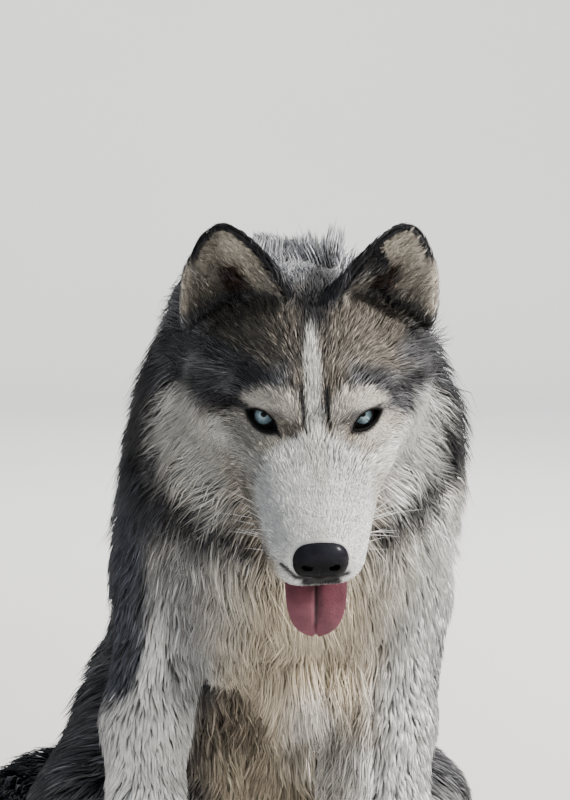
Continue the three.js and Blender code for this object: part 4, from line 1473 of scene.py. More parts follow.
def tuft_paths(roots, depth, length, rng, look):
    """Each tuft leaves the skin, follows the lie and ends at the coat's tips."""
    n, rings = len(roots), look.rings
    lattice = measured_body()
    rise = 1 - (1 - np.linspace(0, 1, rings)) ** 1.6
    by_lock = lock_wave(roots, look.lock)
    long_hair = share_of("trunk", shares(roots))
    depth = depth * rng.uniform(*DEPTHS, n) * (1 - LOCK_DEPTH * long_hair * (1 + by_lock))
    step = (length * rng.uniform(*LENGTHS, n) / (rings - 1))[:, None]
    sway = (rng.normal(0, TUFT_SWAY, n) + by_lock * lerp(*LOCK_SWAY, long_hair))[:, None]
    p = roots.copy()
    path, outs, acrosses = [], [], []
    for k in range(rings):
        out = lattice.outward("flesh", p)
        flow = flow_at(p, out, sway, roots @ WAVE_WAY + k * WAVE_STEP)
        if k:
            p = p + flow * step
            for _ in range(2):
                gap = depth * rise[k] - lattice.read("flesh", p)
                p = p + lattice.outward("flesh", p) * gap[:, None]
        else:
            p = p - out * ROOT_SINK
        p[:, 2] = np.maximum(p[:, 2], OFF_FLOOR)
        path.append(p.copy())
        outs.append(out)
        acrosses.append(unit(np.cross(flow, out)))
    return np.stack(path, 1), np.stack(outs, 1), np.stack(acrosses, 1)


def gather(path, roots, size, pull):
    """Draws the tips of neighbouring tufts together into locks."""
    _, guides = np.unique(cube_keys(roots, size), return_index=True)
    tree = KDTree(len(guides))
    for i, g in enumerate(guides):
        tree.insert(roots[g], i)
    tree.balance()
    lock = np.array([tree.find(p)[1] for p in roots])
    rings = path.shape[1]
    for k in range(1, rings):
        share = pull * (k / (rings - 1)) ** 1.3
        path[:, k] += (path[guides[lock], k] - path[:, k]) * share
    return lock


# The line that each part is unwrapped round, from one end to the other
PART_LINES = {
    "trunk": lambda s: [WORLD.out(20, -120, 480), WORLD.out(4, 40, 330), BODY.out(0, 270, 100)],
    "head": lambda s: [HEAD.out(0, -120, -30), HEAD.out(0, 120, 0)],
    "jaw": lambda s: [HEAD.out(0, -110, -60), HEAD.out(0, 20, -80)],
    "foreleg": lambda s: [WORLD.out(s * 75, -20, 360), WORLD.out(s * 100, -10, 60)],
    "thigh": lambda s: [BODY.out(s * 54, 262, 116), BODY.out(s * 146, 130, 59)],
    "shin": lambda s: [BODY.out(s * 112, 292, 28), BODY.out(s * 136, 150, 50)],
    "fore_foot": lambda s: [WORLD.out(s * 100, 10, 25), WORLD.out(s * 100, -85, 15)],
    "hind_foot": lambda s: [BODY.out(s * 128, 160, 24), BODY.out(s * 130, 90, 15)],
    "tail": lambda s: [BODY.out(*p) for p in TAIL_PATH],
}
# The size of a tuft's patch, as a share of its strip
PATCH = 0.003


def unwrapped(points, line):
    """The way round a line and the share of its length, both from 0 to 1."""
    line = np.array(line)
    spans = np.diff(line, axis=0)
    lengths = length_of(spans)
    starts = np.append(0, np.cumsum(lengths))
    best = np.full(len(points), FAR)
    around, along = np.zeros(len(points)), np.zeros(len(points))
    top = np.array([0, 0.3, 1.0])
    for i, span in enumerate(spans):
        axis = span / lengths[i]
        reach = (points - line[i]) @ axis
        t = np.clip(reach, 0, lengths[i])
        away = points - line[i] - t[:, None] * axis
        d = length_of(away)
        side = unit(np.cross(axis, top))
        turn = np.arctan2(away @ side, away @ np.cross(side, axis)) / (2 * math.pi) + 0.5
        here = d < best
        best = np.where(here, d, best)
        around = np.where(here, turn, around)
        along = np.where(here, starts[i] + reach, along)
    return around, np.clip(0.1 + 0.8 * along / starts[-1], 0, 1)


def root_places(roots, parts):
    """Where each root lies on an unwrap of the skin: a strip for each part and side."""
    owner = shares(roots).argmax(1)
    left = left_of_body(roots)
    strips = 2 * len(parts)
    uv = np.zeros((len(roots), 2))
    for i, part in enumerate(parts):
        for j, s in enumerate(SIDES.values()):
            own = (owner == PART_NAMES.index(part)) & (left == (s > 0))
            if part == "ear":
                t, x, _, ahead = EARS[s].measures(roots[own])
                around, along = (np.clip(x, -1, 1) + 1) / 4 + 0.5 * (ahead > 0), np.clip(t, 0, 1)
            else:
                around, along = unwrapped(roots[own], PART_LINES[part](s))
            inset = 2 * PATCH
            uv[own, 0] = (2 * i + j + inset + around * (1 - 2 * inset)) / strips
            uv[own, 1] = lerp(inset, 1 - inset, along)
    return uv


def keep_bake_map(obj, uv, faces, rings):
    """A small patch of the unwrap for each tuft, at its root's place."""
    patch = np.stack(tube_places(rings), 1) * PATCH
    corners = (uv[:, None] + patch[None]).reshape(-1, 2)[faces.ravel()]
    layer = obj.data.uv_layers.new(name="OFBake")
    layer.data.foreach_set("uv", corners.astype(np.float32).ravel())


# Each tuft takes its colour from a place off its own, by a share of its length up to a most
JITTER, JITTER_MOST = 0.05, 2.5
# How much tufts differ in brightness where the coat is dark and pale, and locks everywhere
DARK_SPREAD, PALE_SPREAD, LOCK_SPREAD = 0.48, 0.08, 0.12
PALE, BRIGHTEST = 0.6, 0.9
# Painted shade: tufts are darker at their roots, deep in the coat, and a little lighter at their tips
ROOT_SHADE, TIP_SHADE = 0.8, 1.05
# Width along a tuft, its thickness in widths, and the length from which it has its full width
TAPER = ([0, 0.3, 0.7, 1], [0.75, 1, 0.66, 0])
TUFT_FLATNESS = 0.3
FULL_WIDTH_AT, LEAST_WIDTH = 14, 0.55
WIDTHS = (0.7, 1.25)
# The grain's scale along a tuft, and how far apart the tufts lie in it
GRAIN_ALONG, GRAIN_APART = 0.05, 40
TIP_OFF_FLOOR = 0.2


def tuft_colours(path, length, locks, c, rng):
    """Colours ring by ring, so that marks keep their edges, varied by tuft and lock."""
    n, rings = path.shape[:2]
    jitter = np.minimum(length * JITTER, JITTER_MOST)[:, None] * rng.normal(0, 1, (n, 3))
    rows = [markings(path[:, k] + jitter, c) for k in range(1, rings)]
    rows.insert(0, rows[0])
    bright = np.clip(np.mean(rows, 0).mean(1) / PALE, 0, 1)
    spread = lerp(DARK_SPREAD, PALE_SPREAD, smoothstep(bright, 0.2, 0.9))
    by_tuft = np.exp(rng.normal(0, 1, n) * spread)
    vary = by_tuft * np.exp(rng.normal(0, LOCK_SPREAD, locks.max() + 1))[locks]
    # Each ring is darker towards the root: painted shade
    tones = [
        np.minimum(row * vary[:, None], BRIGHTEST) * lerp(ROOT_SHADE, TIP_SHADE, k / (rings - 1))
        for k, row in enumerate(rows)
    ]
    return np.stack([tones[k] for k in ring_of(rings)], 1)


def grow(name, roots, parts, look, c, rng):
    """Tufts that follow the lie of the hair, as one piece."""
    depth, length = growth_at(roots, shares(roots))
    stray = rng.random(len(roots)) < STRAYS
    reach = np.where(stray, rng.uniform(*STRAY_REACH, len(roots)), 1)
    paths = tuft_paths(roots, depth * reach, length * reach, rng, look)
    slim = np.where(stray, STRAY_WIDTH, 1) * np.clip(length / FULL_WIDTH_AT, LEAST_WIDTH, 1)
    tufts(name, roots, parts, look, (*paths, length, slim), c, rng)


def tufts(name, roots, parts, look, paths, c, rng):
    """One piece of tufts that run along the given paths."""
    path, outs, acrosses, length, slim = paths
    locks = gather(path, roots, look.lock, look.pull)
    taper = np.interp(np.linspace(0, 1, look.rings), *TAPER)
    widths = look.spacing * look.width * slim * rng.uniform(*WIDTHS, len(roots))
    widths = widths[:, None] * taper
    points, faces, per = tubes(path, widths, widths * TUFT_FLATNESS, acrosses, outs)
    points[:, 2] = np.maximum(points[:, 2], TIP_OFF_FLOOR)
    coat = new_mesh(name, points, faces)
    paint(coat, "coat", tuft_colours(path, length, locks, c, rng).reshape(-1, 3))
    across, along = tube_places(look.rings)
    strand = np.empty((len(roots), per, 3))
    strand[..., 0] = across * look.spacing * look.width
    strand[..., 1] = along * length[:, None] * GRAIN_ALONG
    strand[..., 2] = rng.random(len(roots))[:, None] * GRAIN_APART
    keep_vector(coat, "strand", strand.reshape(-1, 3))
    keep_bake_map(coat, root_places(roots, parts), faces, look.rings)
    finished(coat, shared_material("coat_hair", long_hair_material), "coat_grey")


# Long locks that hang from the breast: where they root, lower down on the dog's left,
# then their length, depth, sway and wave, and their rings, size, pull and width
FRINGE_LOW, FRINGE_HIGH = (-56, -300, 118), (84, 110, 252)
FRINGE_LOW_RIGHT = 208
FRINGE_LENGTH, FRINGE_DEPTH = (36, 76), 17
FRINGE_SWAY, FRINGE_WAVE = 0.22, 4
FRINGE_LOOK = (5, 14, 0.4, 0.72)


def hangs(points):
    """Whether a root carries one of the breast's hanging locks."""
    at = WORLD.into(points)
    low = lerp(FRINGE_LOW_RIGHT, FRINGE_LOW[2], smoothstep(at[:, 0], -12, 12))
    return ((at > FRINGE_LOW) & (at < FRINGE_HIGH)).all(1) & (at[:, 2] > low)


def fringe_paths(roots, rng, look):
    """Locks that leave the breast, then hang straight down with a wave."""
    n = len(roots)
    out = measured_body().outward("flesh", roots)
    length = rng.uniform(*FRINGE_LENGTH, n)
    x, y, _ = WORLD.into(roots).T
    length *= lerp(0.5, 1, smoothstep(x, -12, 12)) * lerp(1, 0.45, smoothstep(y, -10, 50))
    aside = WORLD.along(1, 0, 0)
    by_lock = lock_wave(roots, look.lock) * FRINGE_SWAY
    lean = WORLD.along(0, 0.08, -1) + (by_lock + rng.normal(0, 0.1, n))[:, None] * aside
    path, outs, acrosses = [], [], []
    for t in np.linspace(0, 1, look.rings):
        wave = FRINGE_WAVE * t * np.sin(roots @ WAVE_WAY + t * 5)[:, None] * aside
        lift = out * FRINGE_DEPTH * (1 - (1 - t) ** 3)
        path.append(roots + lift + lean * (length * t)[:, None] + wave)
        outs.append(unit(lerp(out, WORLD.along(0, -1, 0), t)))
        acrosses.append(unit(np.cross(lean, outs[-1])))
    return np.stack(path, 1), np.stack(outs, 1), np.stack(acrosses, 1), length, np.ones(n)


# Which points of its parts a piece of the coat takes
BODY_MIDDLE = 20


def left_of_face(points):
    """The dog's own left."""
    return HEAD.into(points)[:, 0] > 0


def left_of_body(points):
    return WORLD.into(points)[:, 0] > BODY_MIDDLE


def between(y_low, y_high):
    """Chooses points from one distance back to another."""

    def chosen(points):
        y = WORLD.into(points)[:, 1]
        return (y >= y_low) & (y < y_high)

    return chosen


def other(choice):
    """Chooses what the choice leaves."""
    return lambda points: ~choice(points)


def both_of(one, two):
    """Chooses what both choices take."""
    return lambda points: one(points) & two(points)


def anywhere(points):
    return np.ones(len(points), bool)


CHEST_END, FLANK_END = 30, 150
FRONT = between(-FAR, CHEST_END)
MIDDLE = between(CHEST_END, FLANK_END)
BACK = between(FLANK_END, FAR)

# Each piece's parts, which of their points, its spacing's name, then its rings, size of
# locks, pull into them and width
COATS = {
    "coat_face_left": (["head", "jaw"], left_of_face, "face", 3, 5, 0.25, 0.85),
    "coat_face_right": (["head", "jaw"], other(left_of_face), "face", 3, 5, 0.25, 0.85),
    "coat_ears": (["ear"], anywhere, "ear", 3, 4, 0.3, 0.62),
    "coat_ruff_left": (["trunk"], both_of(FRONT, left_of_body), "front", 4, 15, 0.5, 0.85),
    "coat_ruff_right": (["trunk"], both_of(FRONT, other(left_of_body)), "front", 4, 15, 0.5, 0.85),
    "coat_flanks": (["trunk"], MIDDLE, "middle", 4, 20, 0.45, 0.85),
    "coat_back": (["trunk"], BACK, "back", 4, 24, 0.45, 0.85),
    "coat_forelegs": (["foreleg"], anywhere, "leg", 3, 9, 0.3, 1.15),
    "coat_hindlegs": (["thigh", "shin"], anywhere, "leg", 3, 14, 0.4, 0.95),
    "coat_feet": (["fore_foot", "hind_foot"], anywhere, "foot", 3, 6, 0.2, 0.9),
    "coat_tail": (["tail"], anywhere, "tail", 4, 18, 0.4, 0.95),
}
LID_ROOM, NOSE_ROOM, SOLE = 2.4, 0.4, 3


def bare(points):
    """Where no hair grows: between the lids, on the nose and against the floor."""
    off = (NOSE(points) < NOSE_ROOM) | (points[:, 2] < SOLE)
    for s in SIDES.values():
        opening, ahead, away = from_eye(s, points)
        off |= (opening < LID_ROOM) & (ahead > 0) & (away < EYE_NEAR)
    return off


def roots_on(parts, chosen, look, rng):
    """Roots on those faces of the skin that belong to the parts and are chosen."""
    points, faces = MADE["skin"]
    centres = points[faces].mean(1)
    owner = np.array(PART_NAMES)[shares(centres).argmax(1)]
    return scatter(points, faces[np.isin(owner, parts) & chosen(centres)], rng, look.spacing)


def build_coat(settings):
    """Every tuft of the coat, in pieces that export with ease."""
    c = palette(settings.coat)
    for seed, (name, (parts, chosen, kind, *rest)) in enumerate(COATS.items(), 1):
        rng = np.random.default_rng(seed)
        look = Look(getattr(settings.spacing, kind) / MM, *rest)
        roots = roots_on(parts, chosen, look, rng)
        grow(name, roots[~bare(roots)], parts, look, c, rng)


def build_breast(settings):
    """The locks that hang from the breast over the rest of the coat."""
    rng = np.random.default_rng(len(COATS) + 1)
    look = Look(settings.spacing.front / MM, *FRINGE_LOOK)
    parts = ["trunk", "foreleg"]
    roots = roots_on(parts, hangs, look, rng)
    paths = fringe_paths(roots, rng, look)
    tufts("coat_breast", roots, parts, look, paths, palette(settings.coat), rng)


# Whiskers

WHISKER_ROWS, WHISKERS_A_ROW, WHISKER_RINGS = 3, 4, 7
WHISKER_SEED = 40
WHISKER_WHITE = 0.7


def whisker_roots(rng):
    """Where each whisker leaves the muzzle, the way it goes and its length."""
    roots, ways, lengths = [], [], []
    for s in SIDES.values():
        for row in range(WHISKER_ROWS):
            for i in range(WHISKERS_A_ROW):
                y, z = -90 + i * 12 + row * 3, -36 - row * 6
                x, y, z = np.array([21 + i * 1.6, y, z]) + rng.normal(0, 1.5, 3)
                roots.append(HEAD.out(s * x, y, z))
                tilt = rng.normal(0, 0.14, 2)
                ways.append(HEAD.along(s, 0.45 + 0.12 * i + tilt[0], -0.15 * row + tilt[1]))
                lengths.append((22 + 9 * i) * rng.uniform(0.6, 1.2))
    roots, ways, lengths = np.array(roots), np.array(ways), np.array(lengths)
    lattice = measured_body()
    for _ in range(4):
        roots -= lattice.outward("flesh", roots) * lattice.read("flesh", roots)[:, None]
    return roots, ways, lengths


def build_whiskers(settings):
    """Long pale whiskers on both sides of the muzzle."""
    rng = np.random.default_rng(WHISKER_SEED)
    roots, ways, lengths = whisker_roots(rng)
    rings = WHISKER_RINGS
    sag = HEAD.along(0, 0.55, -0.85)
    path, across, out = [], [], []
    for k in range(rings):
        t = k / (rings - 1)
        way = unit(ways + sag * 0.5 * t)
        path.append(roots + (ways * t + sag * 0.3 * t * t) * lengths[:, None])
        across.append(unit(np.cross(way, [0.1, 1.0, 0.2])))
        out.append(np.cross(across[-1], way))
    widths = np.linspace(1, 0.2, rings) * settings.features.whisker_width / MM
    widths = np.broadcast_to(widths, (len(roots), rings))
    path, across, out = (np.stack(v, 1) for v in (path, across, out))
    points, faces, per = tubes(path, widths, widths, across, out)
    whiskers = new_mesh("whiskers", points, faces)
    paint(whiskers, "coat", np.full((len(points), 3), WHISKER_WHITE))
    strand = np.zeros((len(roots), per, 3))
    strand[..., 2] = rng.random(len(roots))[:, None] * GRAIN_APART
    keep_vector(whiskers, "strand", strand.reshape(-1, 3))
    keep_bake_map(whiskers, root_places(roots, ["head"]), faces, rings)
    finished(whiskers, shared_material("coat_hair", long_hair_material), "coat_white")


# Eyes

# Half the angle that the iris and the pupil take, in radians, and the bulge over them
IRIS_HALF, PUPIL_HALF = 0.7, 0.2
CORNEA_RISE = 0.9
EYE_WHITE, PUPIL_BLACK = np.array([0.1, 0.07, 0.06]), 0.003


def eye_colours(a, iris):
    """Pupil, iris with its dark rim and white, by the angle from the eye's axis."""
    colour = lerp(iris * 1.1, iris * 0.8, smoothstep(a, 0.16, 0.34)[:, None])
    colour = lerp(colour, iris * 0.12, smoothstep(a, IRIS_HALF - 0.07, IRIS_HALF)[:, None])
    white = smoothstep(a, IRIS_HALF + 0.03, IRIS_HALF + 0.12)
    colour = lerp(colour, EYE_WHITE, white[:, None])
    pupil = smoothstep(a, PUPIL_HALF + 0.02, PUPIL_HALF - 0.02)
    return lerp(colour, PUPIL_BLACK, pupil[:, None])


def build_eye(side, settings):
    """An eyeball that looks at the viewer and bulges a little over its iris."""
    s = SIDES[side]
    middle = eye_axes(s)[0]
    look = WORLD.along(s * 0.03, -1, 0.33)
    across = unit(np.cross(look, [0, 0, 1]))
    up = np.cross(across, look)
    rings, columns = 56, 72
    angle = math.pi * (np.arange(1, rings) / rings) ** 1.6
    turn = np.linspace(0, 2 * math.pi, columns, endpoint=False)
    a, b = np.meshgrid(angle, turn, indexing="ij")
    radius = EYE_RADIUS + CORNEA_RISE * smoothstep(a, 0.62, 0.15)
    way = (
        np.cos(a)[..., None] * look
        + (np.sin(a) * np.cos(b))[..., None] * across
        + (np.sin(a) * np.sin(b))[..., None] * up
    )
    rows = list(middle + way * radius[..., None])
    front, back = middle + look * (EYE_RADIUS + CORNEA_RISE), middle - look * EYE_RADIUS
    eye = rows_mesh(f"eyeball_{side}", rows, front, back)
    a, b = np.append(a.ravel(), [0, math.pi]), np.append(b.ravel(), [0, 0])
    paint(eye, "coat", eye_colours(a, np.array(settings.features.iris)))
    keep_vector(eye, "strand", np.stack([np.cos(b) * 6, np.sin(b) * 6, a], 1))
    finished(eye, shared_material("eye_wet", eye_material), "eye", f"eye_{side}")


RIM_RADIUS, RIM_BLACK = 1.4, 0.004
RIM_START, RIM_STEP = 26, 2


def lid_edge(s, count):
    """Points round the opening, where the gaze's way meets the lids, and their heights."""
    middle, gaze, across, up = eye_axes(s)
    turn = np.linspace(0, 2 * math.pi, count, endpoint=False)
    radius, drop = lid_curve(np.sin(turn) > 0)
    x = np.cos(turn) * LID_HALF
    high = np.sqrt(radius**2 - x**2) - drop
    y = high * np.sign(np.sin(turn)) * smoothstep(np.abs(np.sin(turn)), -0.2, 0.3)
    p = middle + x[:, None] * across + y[:, None] * up + RIM_START * gaze
    for _ in range(24):
        d = lidded(s, PARTS["head"](p), p)
        p = p - gaze * np.clip(d, -RIM_STEP, RIM_STEP)[:, None]
    return p - gaze * RIM_RADIUS * 0.5, y


def build_lid_rims():
    """The black wet edges of the lids, that lie on the skin round each eye."""
    count, around = 96, 10
    for side, s in SIDES.items():
        gaze = eye_axes(s)[1]
        p, y = lid_edge(s, count)
        along = unit(np.roll(p, -1, 0) - np.roll(p, 1, 0))
        side_way = unit(np.cross(along, gaze))
        spokes = np.linspace(0, 2 * math.pi, around, endpoint=False)
        thick = RIM_RADIUS * lerp(1.1, 0.6, smoothstep(y, -2, 3))
        ring = (
            np.cos(spokes)[None, :, None] * side_way[:, None]
            + np.sin(spokes)[None, :, None] * gaze[None, None]
        )
        points = (p[:, None] + ring * thick[:, None, None]).reshape(-1, 3)
        i, j = np.meshgrid(np.arange(count), np.arange(around), indexing="ij")
        a, b = i * around + j, i * around + (j + 1) % around
        c, d = (i + 1) % count * around + j, (i + 1) % count * around + (j + 1) % around
        faces = np.stack([a, b, d, c], -1).reshape(-1, 4)
        rim = new_mesh(f"lid_rim_{side}", points, faces)
        paint(rim, "coat", np.full((len(points), 3), RIM_BLACK))
        finished(rim, shared_material("lid_skin", wet_material), "nose_leather")


# Nose

NOSE = blend(
    8,
    lump(HEAD, (0, -114, -31), (17, 12, 13)),
    *both(lambda s: lump(HEAD, (s * 11, -115, -37), (10, 11, 13))),
    limb(HEAD, (0, -118, -39), (0, -118, -49), 6, 4),
)
NOSTRILS = both(
    lambda s: blend(
        2,
        limb(HEAD, (s * 5.5, -114, -32), (s * 7, -123, -34), 2.6, 3.2),
        limb(HEAD, (s * 7, -123, -34), (s * 13, -128, -33), 3.2, 2.2),
        limb(HEAD, (s * 12, -124, -33), (s * 20, -118, -35), 1.6, 1.0),
    )
)
PHILTRUM = limb(HEAD, (0, -128, -31), (0, -125, -51), 1.0, 0.9)
NOSE_MARGIN, NOSE_STEP = 6, 0.7


def nose_form(points):
    """The nose without its hollows."""
    d = NOSE(points)
    for hollow in (*NOSTRILS, PHILTRUM):
        d = np.maximum(d, -hollow(points))
    return d


def build_nose(settings):
    """The nose leather with its nostrils and the groove below them, painted lighter on top as a
    painted reflection of the sky.
    """
    low, high = (np.array(corner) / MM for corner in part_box("nose"))
    points, faces = small_net(nose_form, low - NOSE_MARGIN, high + NOSE_MARGIN, NOSE_STEP)
    nose = new_mesh("nose_skin", points, faces)
    # Painted reflection: lighter on top, where the nose would reflect the sky, and darker underneath
    top = smoothstep(HEAD.into(points)[:, 2], -36, -20)[:, None]
    paint(nose, "coat", np.array(settings.features.nose) * lerp(0.4, 2.6, top))
    finished(nose, shared_material("nose_skin", wet_material), "nose_leather", "nose")


# Tongue

TONGUE_PATH = [
    (0, -20, -62),
    (0, -52, -70),
    (0, -80, -77),
    (0, -98, -87),
    (0, -109, -101),
    (0, -114, -116),
]


def smooth_path(points, count):
    """Even places along a curve through the points."""
    p = np.array(points, float)
    p = np.vstack([2 * p[0] - p[1], p, 2 * p[-1] - p[-2]])
    steps = []
    for i in range(1, len(p) - 2):
        t = np.linspace(0, 1, 24, endpoint=False)[:, None]
        a, b, c, d = p[i - 1 : i + 3]
        curve = 2 * b + (c - a) * t + (2 * a - 5 * b + 4 * c - d) * t**2
        steps.append((curve + (3 * b - a - 3 * c + d) * t**3) / 2)
    steps = np.vstack([*steps, p[-2:-1]])
    reach = np.append(0, np.cumsum(length_of(np.diff(steps, axis=0))))
    at = np.linspace(0, reach[-1], count)
    return np.stack([np.interp(at, reach, steps[:, i]) for i in range(3)], 1)


# Half the tongue's width at its root, what it gains and loses again, its thickness, and
# where along it the rounded tip begins
TONGUE_HALF, TONGUE_GAIN, TONGUE_LOSS, TONGUE_THICK = 17, 7.5, 2.5, 4.2
TIP_FROM, TIP_OVER = 0.76, 0.242


def tongue_sizes(t):
    """Half the width and the thickness along the tongue."""
    round_tip = np.clip(1 - ((t - TIP_FROM) / TIP_OVER) ** 2, 0.02, 1) ** 0.5
    narrow = np.where(t > TIP_FROM, round_tip, 1)
    half = TONGUE_HALF + TONGUE_GAIN * np.minimum(1, t * 1.8)
    half = (half - TONGUE_LOSS * smoothstep(t, 0.5, 0.85)) * narrow
    return half, TONGUE_THICK * (0.4 + 0.6 * narrow)


def build_tongue(settings):
    """A broad tongue with a groove down its middle and a tip of two lobes, with painted shade in the
    groove and towards its root.
    """
    stations, around = 72, 64
    path = np.array([HEAD.out(*p) for p in smooth_path(TONGUE_PATH, stations)])
    across = HEAD.along(1, 0, 0)
    ahead = unit(np.gradient(path, axis=0))
    up = np.cross(ahead, across)
    t = np.linspace(0, 1, stations)
    half, thick = tongue_sizes(t)
    turn = np.linspace(2 * math.pi, 0, around, endpoint=False)
    x, z = np.cos(turn), np.sin(turn)
    groove = np.exp(-((x / 0.09) ** 2)) * 0.6 + np.exp(-((x / 0.3) ** 2)) * 0.25
    rows, shade = [], []
    for i in range(stations):
        deep = groove * smoothstep(t[i], 0.05, 0.3)
        curl = 2.0 * x**2 * smoothstep(t[i], 0.2, 0.7)
        lift = thick[i] * (z * (1 - np.abs(x) ** 3 * 0.3) - deep * (z > 0))
        notch = 8.0 * np.exp(-((x / 0.32) ** 2)) * smoothstep(t[i], 0.75, 1)
        row = path[i] + across * (x * half[i])[:, None] + up[i] * (lift + curl)[:, None]
        rows.append(row - ahead[i] * notch[:, None])
        # Painted shade: darker down the groove, and towards the root where the muzzle's shadow falls
        groove_shade = 1 - 0.75 * np.exp(-((x / 0.07) ** 2)) * (z > 0)
        shade.append(groove_shade * lerp(0.5, 1.1, smoothstep(t[i], 0.4, 0.9)))
    first, last = rows[0].mean(0), rows[-1].mean(0)
    tongue = rows_mesh("tongue_flesh", rows, first, last)
    tint = np.append(np.concatenate(shade), [1, 1])[:, None]
    paint(tongue, "coat", np.array(settings.features.tongue) * tint)
    finished(tongue, shared_material("tongue_flesh", wet_material), "tongue", "tongue")


# Claws


def build_claws():
    """The solids' own claws in dark horn."""
    claws = [node for name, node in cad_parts.items() if name.startswith("claw_")]
    if not claws:
        raise RuntimeError("the frame has no claws")
    for claw in claws:
        claw.data.materials.clear()
        claw.data.materials.append(shared_material("claw_horn", horn_material))


# Stage


CAMERA_PITCH = 86


def build_camera(settings):
    """The camera, at the place that the photograph was taken from."""
    camera = bpy.data.objects.new("camera", bpy.data.cameras.new("camera"))
    bpy.context.scene.collection.objects.link(camera)
    camera.location = (ORIGIN + VIEWPOINT) * MM
    camera.rotation_euler = (math.radians(CAMERA_PITCH), 0, 0)
    camera.data.sensor_width = 36
    camera.data.lens = settings.lens
    camera.data.clip_end = 60
    bpy.context.scene.camera = camera


FLOOR_REACH, FLOOR_FLAT, FLOOR_SWEEP = 9000, 6000, 2600


def build_floor(settings):
    """A pale floor that turns up softly, far away all round."""
    rings, columns = 40, 96
    reach = np.linspace(0, 1, rings)[1:] ** 1.3 * FLOOR_REACH
    rise = np.maximum(reach - FLOOR_FLAT, 0) ** 2 / FLOOR_SWEEP
    turn = np.linspace(0, 2 * math.pi, columns, endpoint=False)
    rows = [
        np.stack([np.cos(turn) * r, np.sin(turn) * r, np.full(columns, z)], 1)
        for r, z in zip(reach, rise)
    ]
    points = np.vstack([*rows, [[0, 0, 0]]])
    faces = bands(len(rows), columns)
    faces += [(len(points) - 1, j, (j + 1) % columns) for j in range(columns)]
    floor = new_mesh("floor", points, faces)
    floor.data.materials.append(floor_material("pale_floor", settings.floor))


# Place, aim, size and colour of each light
LIGHTS = {
    "key": ((3.1, -1.0, 2.5), (0.05, -0.05, 0.35), 0.7, (1.0, 0.96, 0.9)),
    "fill": ((-2.4, -2.2, 1.4), (0, 0, 0.3), 2.4, (0.72, 0.84, 1.0)),
    "rim": ((1.2, 2.2, 2.4), (0, 0, 0.4), 1.2, (1.0, 0.98, 0.95)),
    "backdrop": ((0, 2.6, 4.6), (0, 8.5, 1.2), 3, (1, 1, 1)),
}
SKY = (0.84, 0.91, 1.0, 1)


def add_light(name, place, aim, size, colour, power):
    """A square light that faces its aim."""
    light = bpy.data.lights.new(name, "AREA")
    light.size = size
    light.energy = power
    light.color = colour
    obj = bpy.data.objects.new(name, light)
    bpy.context.scene.collection.objects.link(obj)
    obj.location = place
    obj.rotation_euler = (Vector(aim) - Vector(place)).to_track_quat("-Z", "Y").to_euler()


def build_lights(settings):
    """A warm key from the upper right, a cool fill, a rim light and one on the backdrop."""
    for name, light in LIGHTS.items():
        add_light(name, *light, getattr(settings, f"{name}_power"))
    world = bpy.data.worlds.new("studio")
    bpy.context.scene.world = world
    world.use_nodes = True
    background = world.node_tree.nodes["Background"]
    background.inputs["Color"].default_value = SKY
    background.inputs["Strength"].default_value = settings.sky


# What a user may change


def colour(name, description, *rgb):
    """A colour that a user may change."""
    return FloatVectorProperty(
        name=name, description=description, default=rgb, size=3, subtype="COLOR", min=0, max=1
    )


def size(name, description, default, low, high):
    """A length in metres that a user may change."""
    return FloatProperty(
        name=name,
        description=description,
        default=default,
        min=low,
        max=high,
        unit="LENGTH",
        precision=4,
    )


def power(name, description, default):
    """A light's power in watts that a user may change."""
    return FloatProperty(name=name, description=description, default=default, unit="POWER")


class HuskySkin(bpy.types.PropertyGroup):
    """How finely the skin is meshed."""

    head_step: size("Head step", "Width of the skin's faces on the head", 0.0018, 0.001, 0.01)
    body_step: size("Body step", "Width of the skin's faces on the body", 0.0048, 0.002, 0.02)
    # Painted shade: how much the skin under the coat is darkened
    shade: FloatProperty(
        name="Shade",
        description="Brightness of the skin against the coat over it",
        default=0.85,
        min=0,
        max=1,
        subtype="FACTOR",
    )


class HuskyCoat(bpy.types.PropertyGroup):
    """Colours of the coat."""

    white: colour("White", "Muzzle, stripe, cheeks and legs", 0.72, 0.72, 0.715)
    cream: colour("Cream", "Chest, brow spots and lining of the ears", 0.54, 0.46, 0.35)
    ruff: colour("Ruff", "Fluff round the neck", 0.52, 0.495, 0.45)
    silver: colour("Silver", "Nape between the ears", 0.33, 0.335, 0.355)
    agouti: colour("Agouti", "Forehead", 0.125, 0.11, 0.093)
    # Painted shade: this brown darkens the fluff under the chin, the cheeks beside the muzzle and the
    # hollows of the breast
    brown: colour("Brown", "Shaded fluff under the jaw", 0.2, 0.165, 0.125)
    grey: colour("Grey", "Sides and thighs", 0.085, 0.086, 0.094)
    slate: colour("Slate", "Back and outer ruff", 0.034, 0.037, 0.047)
    dark: colour("Dark", "Mask and bands", 0.013, 0.013, 0.016)
    # Painted shade: the dark of the ears' openings, over their reddish brown skin
    canal: colour("Ear opening", "Deep inside the ears", 0.05, 0.026, 0.018)


class HuskySpacing(bpy.types.PropertyGroup):
    """Distance between tufts."""

    face: size("Face", "Distance between tufts on the face", 0.0017, 0.001, 0.02)
    ear: size("Ears", "Distance between tufts on the ears", 0.0019, 0.001, 0.02)
    front: size("Ruff and chest", "Distance between tufts in front", 0.0025, 0.002, 0.03)
    middle: size("Flanks", "Distance between tufts on the flanks", 0.004, 0.002, 0.03)
    back: size("Back", "Distance between tufts on the back", 0.0054, 0.002, 0.03)
    leg: size("Legs", "Distance between tufts on the legs", 0.0035, 0.002, 0.03)
    foot: size("Feet", "Distance between tufts on the feet", 0.0028, 0.001, 0.02)
    tail: size("Tail", "Distance between tufts on the tail", 0.0036, 0.002, 0.03)


